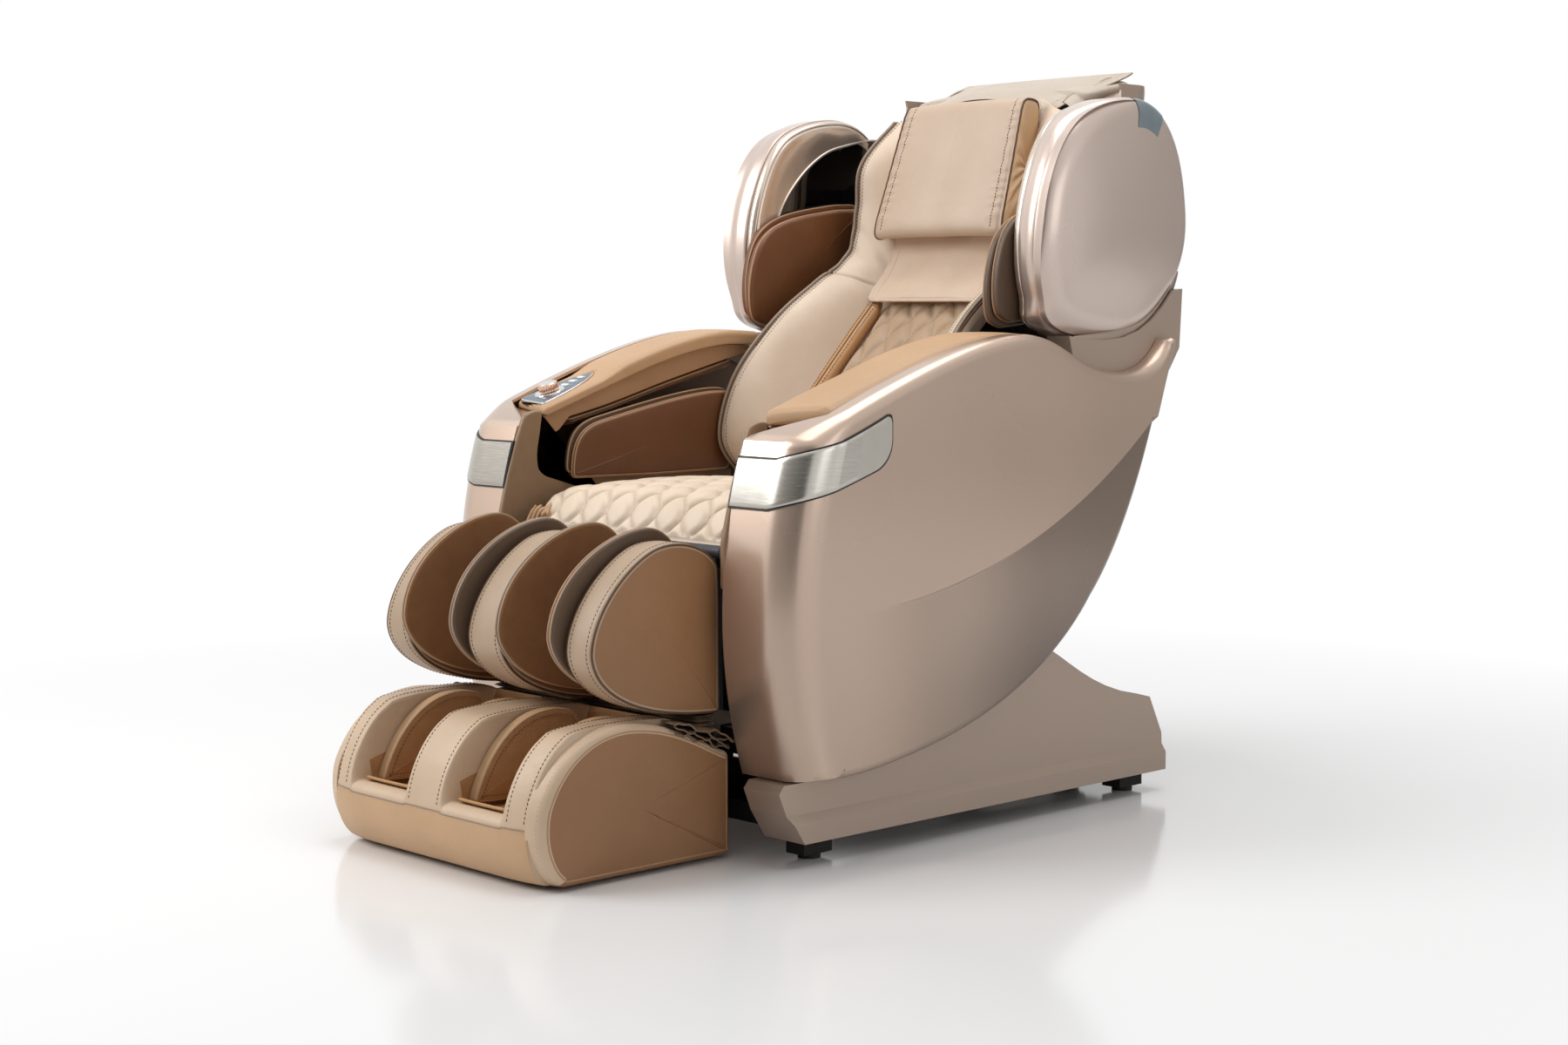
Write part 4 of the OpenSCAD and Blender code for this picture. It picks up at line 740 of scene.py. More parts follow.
def armrest(left):
    """A pad along REST; the left one drops at its front and is cut out for the console."""
    sec = outline(130, 2, [
        [0, 0], [PAD_W, 0], [PAD_W, 4], [PAD_W, PAD_T * 0.62], [PAD_W - 12, PAD_T * 0.96],
        [PAD_W - 30, PAD_T], [12, PAD_T], [3, PAD_T * 0.93], [0, PAD_T * 0.74], [0, 4]])
    mid = A([PAD_W / 2, PAD_T * 0.42])
    rings = []
    for u in np.r_[np.linspace(0, 0.03, 7)[:-1], np.linspace(0.03, 0.97, 90), np.linspace(0.97, 1, 7)[1:]]:
        end = 0.42 * (1 - min(1, min(u, 1 - u) * 520 / 18)) ** 2
        p = thr(REST, u)
        d = thr(REST, min(1, u + 0.02)) - thr(REST, max(0, u - 0.02))
        x, z = about(mid, sec, A([1 - 0.35 * end, 1 - end])).T
        if left:
            z = z - 9.0 * smooth((0.36 - u) / 0.12) * np.clip(z / PAD_T, 0, 1)
        crown = 1.6 * np.clip(1 - (x / (PAD_W / 2) - 1) ** 2, 0, 1) * (z > PAD_T * 0.5)
        back = 0.26 * max(0, 1 - u * 2.5) * x
        rings.append(np.column_stack([PAD_X + x, p[0] + back, p[1] + back * d[1] / d[0] + z + crown]))
    rings = A(rings)
    if left:
        rings[..., 0] *= -1
        q = (rings.reshape(-1, 3) - CON) @ CON_R
        grown = about(CON_O.mean(0), CON_O, 1.05)
        q[inside(q, grown) & (q[:, 2] > SUNK) & (q[:, 2] < 30), 2] = SUNK
        rings = con_out(q).reshape(rings.shape)
    nm = "left" if left else "right"
    Geo().shell(rings).obj("armrest_pad_" + nm, [CARAMEL_TOP], "chassis", "armrest_" + nm,
                           slot="leather_caramel", pad=0.9)


armrest(True)
armrest(False)

BAG = A([[112, 620], [200, 640], [330, 676], [489, 716]])
BAG_X, BAG_W = GX + 56, 54
g = Geo()
a = angles(40)
u_edge = np.linspace(0.02, 0.98, 80)
for g.side in (1, -1):
    rings = []
    for u in np.r_[np.linspace(0, 0.06, 10), np.linspace(0.06, 0.94, 44)[1:-1], np.linspace(0.94, 1, 10)]:
        y, z = thr(BAG, u)
        k = max(0.12, 1 - bow(1 - 14 * min(u, 1 - u)))
        pucker = 1 + 0.05 * np.sin(u * 60 + 2 * np.cos(a))
        high = 11 * np.sign(np.sin(a)) * np.abs(np.sin(a)) ** 0.8 * k * pucker
        rings.append(np.column_stack([BAG_X - BAG_W * np.cos(a) * k, np.full(40, y), z + high]))
    g.shell(rings)
    k = 1 - bow(1 - 14 * np.minimum(u_edge, 1 - u_edge))
    edge = at_x(thr(BAG, u_edge), BAG_X - (BAG_W + 1) * k)
    g.tube(edge, 2.2, m=1).tube(edge + [1.5, 0, 4.2], 1.8, m=2)
g.obj("arm_airbag_pair", [SIDE, PIPE_DARK, TAN], "chassis", "arm_airbags", slot="textile", pad=0.5)

HIP = outline(
    240, 4, ([[104, 532], [104, 590], [120, 612], [167, 622]], 20),
    ([[167, 622], [260, 642], [380, 668], [439, 664]], 20),
    ([[439, 664], [470, 660], [468, 640], [464, 620]], 10), [[456, 560], [446, 532], [280, 530]])[::-1]
HIP_BACK = soften(HIP + [-7, 7], 240, 2)
g = Geo()
for g.side in (1, -1):
    g.slab(HIP, (243, 261), (6, 2), (3.4, 0), fall=4)
    g.piping(HIP, 1.2, 246, 1.7, 1).piping(HIP, -0.6, 249.6, 1.7, 1)
    g.slab(HIP_BACK, (254, 261.5), (3, 2), (0, 0), (2, 2, 2)).piping(HIP_BACK, 0.6, 254.5, 1.5, 1)
g.obj("hip_pad_pair", [HIPB, PIPE, FIN], "chassis", "hip_pads", slot="leather_brown", pad=0.7)

# moulded skin on the inner front corner of each arm housing
SKIN = outline(420, 4, [
    [-34, 400], [-34, 470], [-16, 540], [2, 596], [18, 636], [38, 643], [57, 641], [52, 610], [45, 572],
    [47, 548], [62, 537], [110, 534], [300, 532], [470, 532], [470, 470], [300, 440], [60, 400]])[::-1]
g = Geo()
for g.side in (1, -1):
    g.slab(SKIN, (261.5, 272), (4, 3), (0, 0))
g.obj("arm_inner_skin", [LINER], "chassis", slot="liner")

# ---- console --------------------------------------------------------------------------------
LIFT = 4.5  # the plate, knob and keys stand this much higher than their CAD nodes
KEY_Y = (34, 52, 70)


def level(o, z):
    return con_out(np.column_stack([o, np.full(len(o), z)]))


def lid(o, z0, z1, bevel, m):
    rings = [level(o, z0)]
    for a in np.radians((0, 30, 60, 90)):
        rings.append(level(inset(o, bevel * (1 - cos(a))), z1 - bevel + bevel * sin(a)))
    g.shell(rings, m)


def turned(profile, m, flute=0.0, n=96):
    """A turned part about the dial's axis: radius, height and whether the flutes reach it."""
    t = angles(n)[:, None]
    flutes = flute * (0.5 + 0.5 * np.cos(t * 24))
    circle = np.hstack([np.cos(t), np.sin(t)])
    g.shell([level(r * (1 - k * flutes) * circle, z + LIFT) for r, z, k in profile], m)


g = Geo()
lid(CON_O, -6, LIFT + 0.6, 1.2, 0)
lid(inset(CON_O, 2.2), LIFT, LIFT + 1.1, 0.3, 1)
turned([(25.5, 0.6, 0), (25.5, 2, 0), (24.4, 3.6, 0), (22.5, 4.1, 0), (20.5, 4.1, 0), (19.5, 3.2, 0)], 0)
for x, y in ((-12, 36), (13, 36), (-11, 53), (12, 53), (-9, 70), (9, 70), (-26, 2), (-24, 20)):
    for k in (0, 1):  # two short strokes
        ends = A([[x - 2.5 + 2.5 * k, y + k * 2.4], [x + 2.5 - 1.25 * k, y + k * 2.4]])
        g.tube(level(ends, LIFT + 1.25), 0.32, k=6, m=2)
g.obj("console_panel", [CHROME, PLATE, KEYS], "chassis", "console_plate", slot="console_metal", angle=30)
g = Geo()
turned([(15.5, 4.5, 0), (16.6, 5.0, 1), (17, 6, 1), (17, 15.5, 1), (16.6, 16.4, 1), (16.2, 16.6, 0),
        (15.4, 17.2, 0), (13.8, 17.6, 0)], 0, 0.055, 240)
turned([(13.6, 17.4, 0), (13.2, 17.9, 0), (6, 18.1, 0), (0.5, 18.15, 0)], 1)
g.tube(con_out([[0, 8.5, LIFT + 18.1], [0, 12.2, LIFT + 18.0]]), 0.6, k=6, m=2)
g.obj("console_knob", [ROSE, CHROME, KEYS], "dial", "console_dial", slot="knob_metal", angle=30)
a = angles(48)
for i, y in enumerate(KEY_Y, 1):
    o = np.column_stack([5 * np.sign(np.cos(a)) + 4 * np.cos(a), y + 4 * np.sin(a)])
    heights = ((0, -3.4), (0, LIFT + 1.6), (0.25, LIFT + 2.1), (0.8, LIFT + 2.4), (2.0, LIFT + 2.2))
    Geo().shell([level(inset(o, d), z) for d, z in heights]).obj(
        f"console_button_{i}", [KEYS], f"key_{i}", f"console_key_{i}", slot="key_plastic", angle=40)

# ---- seat -----------------------------------------------------------------------------------
SEAT_Z, SEAT_T, SEAT_C, SEAT_D, SEAT_W = 520.0, 76.0, 16.0, 430.0, 242.0
LEAF_W, LEAF_L, LEAF_WAVE = 60.0, 104.0, 15.0  # the quilting's leaves


def seat_surface(u, v):
    """u from -1 to 1 across, v from 0 at the front to 1."""
    roll = 1 - (1 - np.minimum(1, v * 6)) ** 2.4
    flat = 0.86 + 0.14 * (1 - np.abs(u) ** 6)
    swell = SEAT_C * (1 - u * u) * np.sin(pi * np.minimum(1, v * 1.1))
    z = SEAT_Z - SEAT_T + 6 + roll * ((SEAT_T - 6) * flat + swell)
    return np.stack([u * SEAT_W * (1 - 0.03 * (2 * v - 1) ** 2), 8 + SEAT_D * v, z], -1)


def leaf_wave(y):
    return LEAF_WAVE * np.cos(2 * pi * y / LEAF_L)


def to_line(t, pitch):
    """Distance to the nearest of the lines at whole numbers t, which lie pitch mm apart."""
    return np.abs(t - np.round(t)) * pitch


def puff(d, r):
    """How full the padding is at distance d from a stitch line."""
    return 1 - np.exp(-((d / r) ** 1.3))


def on_grid(P, i, j):
    """Points of a surface between the rows i and columns j of its grid, and the grid's corner there."""
    i = np.clip(i, 0, P.shape[0] - 1.001)
    j = np.clip(j, 0, P.shape[1] - 1.001)
    a, b = i.astype(int), j.astype(int)
    s, t = (i - a)[:, None], (j - b)[:, None]
    low = P[a, b] * (1 - s) + P[a + 1, b] * s
    high = P[a, b + 1] * (1 - s) + P[a + 1, b + 1] * s
    return low * (1 - t) + high * t, a, b


nu, nv = 181, 200
U, V = mesh(np.linspace(-1, 1, nu), np.r_[np.linspace(0, 0.166, 60), np.linspace(0.166, 1, nv - 59)[1:]])
P = seat_surface(U, V)
N = normals(P, 2, 1)
girth = lengths(P[nu // 2], False)[1]
wave = leaf_wave(girth)
da, db = to_line((P[..., 0] - wave) / LEAF_W, LEAF_W), to_line((P[..., 0] + wave) / LEAF_W + 0.5, LEAF_W)
quilted = smooth((girth - 16) / 8) * (np.abs(P[..., 0]) < 226)
hem = bell((girth - 12) / 2.6)
from_side = (1 - np.abs(U)) * SEAT_W
h = 7.5 * (puff(da, 6.5) * puff(db, 6.5) - 0.6) * quilted - 2.4 * hem
P = P + N * (h * smooth(from_side / 14))[..., None]
P[..., 2] -= 14 * bow(1 - from_side / 14)
g = Geo()
# painted shade: the cover is darker along the quilting's stitch lines and along the hem
g.grid(P, painted_shading=1 - 0.24 * bell(np.minimum(da, db) / 3.0) * quilted - 0.12 * hem)
rim = border(P)
bottom = rim * [0.965, 1, 0] + [0, 0, SEAT_Z - SEAT_T + 1]
mid = 0.5 * (rim + bottom) * [1.012, 1, 1]
g.grid(A([rim, mid, bottom]), cv=True).face(bottom)
y = np.linspace(18, girth[-1] - 4, 160)
for sign, first in ((1, 0), (-1, 0.5)):
    for k in range(-5, 6):
        x = LEAF_W * (k - first) + sign * leaf_wave(y)
        pt, i, j = on_grid(P, (x / SEAT_W + 1) / 2 * (nu - 1), np.interp(y, girth, np.arange(nv)))
        for run in runs(np.abs(x) < 218, 6):
            n = N[i[run], j[run]]
            g.stitches(pt[run] + n * 0.25, n, 1, (5.5, 3.4, 0.42))
j = np.searchsorted(girth, 9)
g.stitches(P[8:-8, j] + N[8:-8, j] * 0.2, N[8:-8, j], 1, (5.5, 3.4, 0.5))
g.obj("seat_pad", [SEAT, THREAD], "chassis", "seat_cushion", slot="leather_light", pad=0.8)

g = Geo()
t = np.linspace(0, 1, 30)
for g.side in (1, -1):
    for k in range(5):
        path = np.column_stack([237 - 6 * k + 4 * np.sin(3 * t + k), 4 + 4 * k + 16 * t - 4 * np.sin(pi * t),
                                450 + 6 * k + (40 - 5 * k) * t + 2 * np.sin(7 * t + 2 * k)])
        g.tube(path, np.interp(t, [0, 0.3, 0.8, 1], [1.2, 3.4 + 0.5 * (k % 2), 4.2, 1.5]), k=12)
g.obj("seat_corner_gathers", [TAN], "chassis", slot="leather_caramel", pad=0.5)

# ---- back rest ------------------------------------------------------------------------------
BACK_MID = A([[478, 540], [503, 600], [565, 668], [642, 747], [706, 814], [744, 888], [774, 968],
              [802, 1060], [838, 1165]])
BACK_WING = A([[452, 526], [415, 588], [450, 692], [536, 790], [634, 856], [712, 904], [736, 984],
               [746, 1062], [812, 1140]])
NARROWER = A([8, 0, 0, 12, 18, 15, 12, 14, 35])
BACK_W, BACK_H = 238, 900
QUILT_W = 104.0  # half width of the quilted middle
WAIST = 0.545  # share of the height where the seam crosses the wings


def back_w(u):
    return BACK_W - thr(NARROWER, u)


def back_p(u, x, d=0.0):
    """The back's front surface at share u of its height and at x, sunk by d."""
    u, x = np.broadcast_arrays(A(u), A(x))
    h = smooth((np.abs(x) - QUILT_W - 8) / (back_w(u) - QUILT_W - 14))[..., None]
    m = thr(BACK_MID, u)
    t = unit(thr(BACK_MID, np.minimum(1, u + 0.02)) - thr(BACK_MID, np.maximum(0, u - 0.02)))
    p = m + h * (thr(BACK_WING, u) - m)
    return np.stack([x, p[..., 0] + d * t[..., 1], p[..., 1] - d * t[..., 0]], -1)


nu, nx = 220, 200
us = np.linspace(0, 1, nu)
U, F = mesh(us, np.linspace(-1, 1, nx))
X = F * back_w(U)
P = back_p(U, X)
N = normals(P, 1, -1)
e = (1 - np.abs(F)) * back_w(U)  # from the wing's edge
wing = np.abs(X) - QUILT_W
groove = bell((e - 13) / 1.8) * smooth(U / 0.02)
waist = bell((U - WAIST + 0.00012 * (np.abs(X) - 150)) * BACK_H / 2.6) * (wing > 20)
full_low = 7 * np.sin(pi * np.clip((wing - 20) / 96, 0, 1)) * smooth(U / 0.08) * smooth((WAIST - U) / 0.05)
full_high = 5 * np.sin(pi * np.clip((wing - 12) / 104, 0, 1)) * smooth((U - WAIST) / 0.05)
full_high = full_high * smooth((0.98 - U) / 0.1)
wrinkle = 1.3 * np.sin(X * 0.11 + 7 * np.sin(U * 9) + U * 40) * bell((U - 0.62) / 0.09)
wrinkle = wrinkle * smooth((wing - 20) / 30)
P = P + N * (full_low + full_high + wrinkle - 2.0 * groove - 3.2 * waist - 9 * bow(1 - e / 9))[..., None]
g = Geo()
# painted shade: darker in the groove along each wing's edge and along the waist seam
g.grid(P, painted_shading=1 - 0.4 * groove - 0.4 * waist)
rim, n = border(P), border(N)
g.grid(A([rim, rim - n * 9, (rim - n * 16) * [0.97, 1, 1]]), cv=True)
g.grid(back_p(U, X * 0.965, 16.0)[::4, ::4])


def in_from_edge(off):
    w = back_w(us)
    j = np.clip(((s * (w - off) / w + 1) / 2 * (nx - 1)).round().astype(int), 0, nx - 1)
    return P[np.arange(nu), j], N[np.arange(nu), j]


for s in (1, -1):
    pt, n = in_from_edge(5)
    g.tube(pt + n * 1.4, 3.2, m=1)
    g.tube(pt + n * 1.0 - [s * 4.6, 0, 0], 1.7, k=6, m=4)
    g.tube(pt - n * 3.0 + [s * 2.6, 0, 0], 2.2, k=6, m=4)
    for off, proud, r in ((10.5, 0.4, 0.6), (18, 0.3, 0.5)):
        pt, n = in_from_edge(off)
        g.stitches(pt + n * proud, n, 3, (6, 3.8, r))
g.obj("back_pad", [BACK_SIDE, PIPE_GREY, THREAD, THREAD_DARK, PIPE_DARK], "backrest", "back_cushion",
      slot="leather_light", pad=0.7)

# quilted middle, in diamonds
DIAMOND, SLANT, U0, U1 = 52, 8, 0.04, 0.60
SINK, PUFF = -1.1, 12
nu, nx = 230, 104
U, X = mesh(np.linspace(U0, U1, nu), np.linspace(-QUILT_W, QUILT_W, nx))
da, db = (to_line(X / DIAMOND + sign * U * SLANT, DIAMOND) for sign in (1, -1))
side = 1 - bow(1 - (QUILT_W - np.abs(X)) / 12)
ends = 1 - bow(1 - np.minimum(U - U0, U1 - U) * BACK_H / 12)
P = back_p(U, X, SINK - (1 + PUFF * (0.42 + 0.58 * puff(da, 8) * puff(db, 8))) * side * ends)
N = normals(P, 1, -1)
g = Geo()
# painted shade: darker along the quilting's stitch lines
g.grid(P, painted_shading=1 - 0.16 * bell(np.minimum(da, db) / 2.2))
u = np.linspace(0.055, 0.585, 120)
for sign in (1, -1):
    for k in range(-9, 10):
        x = DIAMOND * (k - sign * u * SLANT)
        for run in runs(np.abs(x) < QUILT_W - 8, 5):
            i = ((u[run] - U0) / (U1 - U0) * (nu - 1)).round().astype(int)
            j = ((x[run] / QUILT_W + 1) / 2 * (nx - 1)).round().astype(int)
            pt = back_p(u[run], x[run], SINK - 1 - PUFF * 0.42)
            g.stitches(pt + N[i, j] * 0.5, N[i, j], 1, (5.5, 3.6, 0.42))
g.obj("back_quilted_panel", [QUILT, THREAD], "backrest", "back_quilt", slot="leather_light", pad=0.6)

g = Geo()
us = np.linspace(0.03, 0.49, 110)
a = angles(28)
BOLSTER_X, BOLSTER_D, BOLSTER_R = QUILT_W + 14, -14.6, 11.5
for s in (1, -1):
    rings = []
    for i, u in enumerate(us):
        e = sin(pi * min(1, min(i, len(us) - 1 - i) / 10) / 2) * 0.5 + 0.5
        rings.append(back_p(u, s * (BOLSTER_X + 12.5 * np.cos(a) * e), BOLSTER_D - BOLSTER_R * np.sin(a) * e))
    g.shell(rings)
    for off in (-6.5, 6.5):
        line = back_p(us[4:-4], s * (BOLSTER_X + off), BOLSTER_D - 10.6)
        g.stitches(line, [0, -0.8, 0.6], 1, (6.5, 4.2, 0.55))
    g.tube(back_p(us, s * BOLSTER_X, BOLSTER_D - 11.9), 0.9, k=6, m=2)
g.obj("back_bolster_pair", [CARAMEL, THREAD_DARK, PIPE_DARK], "backrest", "back_bolsters",
      slot="leather_caramel", pad=0.9)

# ---- pillow and its lower flap ----------------------------------------------------------------
PILLOW_O = outline(
    200, 3, [[756, 934]], ([[724, 928], [700, 926], [700, 940], [708, 962]], 16),
    ([[708, 962], [738, 1040], [762, 1110], [776, 1146]], 40),
    ([[776, 1146], [784, 1164], [800, 1168], [806, 1156]], 12), [[800, 1128], [788, 1060], [770, 984]])
PILLOW_W = 148  # half width
y0, z0 = PILLOW_O.T
rear = smooth((y0 - 706 - (z0 - 930) * 0.36) / 20) * smooth((z0 - 960) / 120)
rings, painted_shades = [], []
for c in np.linspace(-1, 1, 121):
    e = 1 - 0.12 * abs(c) ** 14
    q = about(A([745, 1040]), PILLOW_O, A([e, 0.94 + 0.06 * e]))
    q[:, 0] += 20 * abs(c) ** 4 * rear
    front = smooth((775 - q[:, 0] + (q[:, 1] - 930) * 0.28) / 30)
    d = (1 - abs(c)) * PILLOW_W
    pucker = 0.9 * np.sin(z0 * 0.33 + 3 * np.sin(z0 * 0.05)) * bell((d - 16) / 14)
    seam = bell((d - 5) / 2.0)
    lift = 7 * (1 - c * c) + 2.0 * np.sin(pi * (1 - abs(c))) + pucker - 1.6 * seam
    q = q + np.column_stack([-lift * front, 0.25 * lift * front])
    rings.append(at_x(q, c * (PILLOW_W - 14 * (z0 - 930) / 230)))
    # painted shade: darker along the seam near each side of the pillow's front
    painted_shades.append(1 - 0.15 * seam * front)
rings = A(rings)
g = Geo()
g.grid(rings, cv=True, painted_shading=painted_shades)
for s, ring in ((-1, rings[0]), (1, rings[-1])):
    side = []
    for f in np.linspace(1, 0.05, 12):
        wob = 7.2 * np.sin(ring[:, 2] * 0.14 + 2.5 * np.sin(ring[:, 2] * 0.03) + 4 * f) * (1 - f) * f
        q = about(ring.mean(0), ring, A([0, f, f]))
        q[:, 0] = ring[:, 0] + s * (15 * (1 - f**2) ** 0.6 + wob)
        side.append(q)
    g.grid(A(side), cv=True, m=4).disc(side[-1], 4)
    g.tube(ring + [s * 0.6, 0, 0], 1.7, closed=True, m=2)
for p in (rings[8], rings[-9]):
    k = ring_run((p[:, 1] < 772 + (p[:, 2] - 930) * 0.25) & (p[:, 2] > 944))
    g.stitches(p[k] + [0, -0.5, 0], [0, -1, 0.3], 3, (5.6, 3.6, 0.6))
g.obj("head_pillow", [PILLOW, CARAMEL, PIPE_DARK, THREAD_DARK, TAN], "pillow", "pillow",
      slot="leather_light", pad=0.7)

FLAP = A([[751, 929.5], [742.4, 906], [717, 866], [689, 838], [678, 819]])
FLAP_W, FLAP_H = 131, 128
U, C = mesh(np.linspace(0, 1, 70), np.linspace(-1, 1, 90))
y, z = np.moveaxis(thr(FLAP, U), -1, 0)
sag = (3.0 * np.cos(C * 3.4) + 1.6 * np.sin(C * 7 + U * 5)) * np.sin(pi * U)
P = np.stack([(FLAP_W - 17 * bow((U - 0.86) / 0.14)) * C, y - 2.5 - C * C - sag, z + 1.5 + 0.5 * sag], -1)
N = normals(P, 1, -1)
seam = bell(((1 - U) * FLAP_H - 8) / 1.5) + bell(((1 - np.abs(C)) * FLAP_W - 7) / 1.5)
P = P - N * (0.9 * seam)[..., None]
hem, n = (np.delete(border(q[:-4, 5:-5], False), len(P) - 5, 0) for q in (P, N))  # without a corner point
g = Geo()
# painted shade: darker along the flap's seams
g.cloth(P, N, 1.6, 1.4, painted_shading=1 - 0.12 * np.clip(seam, 0, 1))
g.tube(border(P, False), 2.3, m=1).stitches(hem + n * 1.9, n, 2, (5.6, 3.6, 0.5))
g.obj("pillow_lower_flap", [BACK, BACK, THREAD], None, "pillow_flap", slot="leather_light", pad=0.15)

# ---- head cover: a flat cloth, the roll under it and loose folds at both sides ------------------
COVER_MID = A([[812, 1172], [846, 1187], [905, 1200], [962, 1211], [1000, 1216]])
COVER_W = A([128, 164, 188, 194, 192])
U, C = mesh(np.linspace(0, 1, 80), np.linspace(-1, 1, 90))
far = np.abs(C)
y, z = np.moveaxis(thr(COVER_MID, U), -1, 0)
z = z - 2.5 - 3.0 * (1 - U) - 40 * far**2.6 * (1 - U) ** 1.1
z = z + 1.6 * np.sin(5 * C + 6 * U) * np.sin(pi * U) + 1.2 * (1 - C * C)
P = np.stack([thr(COVER_W, U) * C, y + 12 * far**3 * (1 - U) ** 2 - 2 * C * C, z], -1)
N = normals(P, 2, 1)
g = Geo()
g.cloth(P, N, 1.5, 1.2).tube(border(P, False), 1.5, m=2)
for j in (-5, 4):
    g.stitches(P[4:-4, j] + N[4:-4, j] * 1.8, N[4:-4, j], 3, (6, 3.8, 0.5))
a = angles(72)
square = (np.cos(a) ** 4 + np.sin(a) ** 4) ** -0.25
rings = []
for u in np.linspace(0, 1, 40):
    e = 1 - 0.08 * (2 * u - 1) ** 8
    rings.append(np.column_stack([205 * np.cos(a) * square**0.9 * e, np.full(72, 867 + 119 * u),
                                  1165 + 25 * u + 16 * np.sin(a) * square * e]))
g.shell(rings)
U, T = mesh(np.linspace(0, 1, 50), np.linspace(0, 1, 22))
for g.side in (1, -1):
    for k, (x, z, share) in enumerate(((196, 1156, 0.86), (208, 1148, 0.8), (219, 1138, 0.72))):
        x = x - 26 * (1 - T) ** 1.5 + 8 * np.sin(pi * T) + 3 * np.sin(U * 7 + k) * T - 10 * U * T
        z = z + 48 * U**0.8 - (46 - 12 * U - 5 * k) * T**1.3 + 2.5 * np.sin(U * 9 + 2 * k) * (1 - T)
        P = np.stack([x, 838 + 6 * k + 150 * share * U, z], -1)
        g.cloth(P, normals(P, 0, 1), 0, 1.6, 4 if k == 1 else 0, 1)
        g.tube(P[-1], 1.6, k=6, m=2).tube(P[:, 0], 1.5, k=6).tube(P[:, -1], 1.5, k=6, m=2)
g.obj("head_rest_cover", [COVER, PIPE_DARK, PIPE_GREY, THREAD, BACK], "backrest", "head_cover",
      slot="leather_light", pad=0.3)

# ---- head pods ----------------------------------------------------------------------------------
POD = outline(
    300, 4, ([[705, 757], [800, 757], [842, 790], [886, 838]], 30),
    ([[886, 838], [922, 880], [926, 930], [918, 985]], 26),
    ([[918, 985], [905, 1085], [860, 1148], [775, 1149]], 40),
    ([[775, 1149], [660, 1147], [560, 1090], [536, 960]], 46),
    ([[536, 960], [526, 900], [528, 840], [560, 796]], 26),
    ([[560, 796], [590, 764], [640, 757], [705, 757]], 26))
WINDOW = outline(
    220, 3, ([[620, 966], [636, 1010], [700, 1078], [764, 1096]], 30),
    ([[764, 1096], [820, 1110], [870, 1122], [890, 1110]], 20),
    ([[890, 1110], [880, 1040], [830, 984], [764, 972]], 24),
    ([[764, 972], [710, 962], [650, 952], [620, 966]], 24))
REARWARD = smooth((POD[:, 0] - 560) / 300)  # 0 at the pod's front, 1 at its rear
POD_X, POD_EDGE = 380, radians(80)  # outer face, and how far round the shell's edge goes


def low_tuck(z):
    """The outer face tucks in at its foot to clear the arm housing when the back reclines."""
    return 10 * smooth((960 - z) / 190)


def pod_taper(p):
    """The pod's front edge falls back towards its inner face."""
    p = p.copy()
    back = 14 + 10 * smooth((375 - p[:, 0]) / 60)
    p[:, 1] += back * smooth((660 - p[:, 1]) / 120) * smooth((p[:, 2] - 770) / 60)
    p[:, 0] -= low_tuck(p[:, 2]) * smooth((p[:, 0] - 345) / 25)
    return p


def pod_row(a, grow=0.0):
    """The shell turns in towards its outer face: slowly at the front, quickly at the rear."""
    x0 = 334 + 30 * REARWARD
    turn = (60 - 30 * REARWARD) * (1 - cos(a))
    return pod_taper(at_x(inset(POD, turn - grow), x0 + (POD_X - x0 + grow) * sin(a)))


def pod_cap(edge, f, grow=0.0):
    """The domed outer face within the shell's edge."""
    q = about(edge.mean(0), edge, f)
    flat = POD_X - 0.7 - low_tuck(q[:, 2])
    q[:, 0] = edge[:, 0] * f**6 + (1 - f**6) * flat + 12.6 * (1 - f**2) + grow
    return q


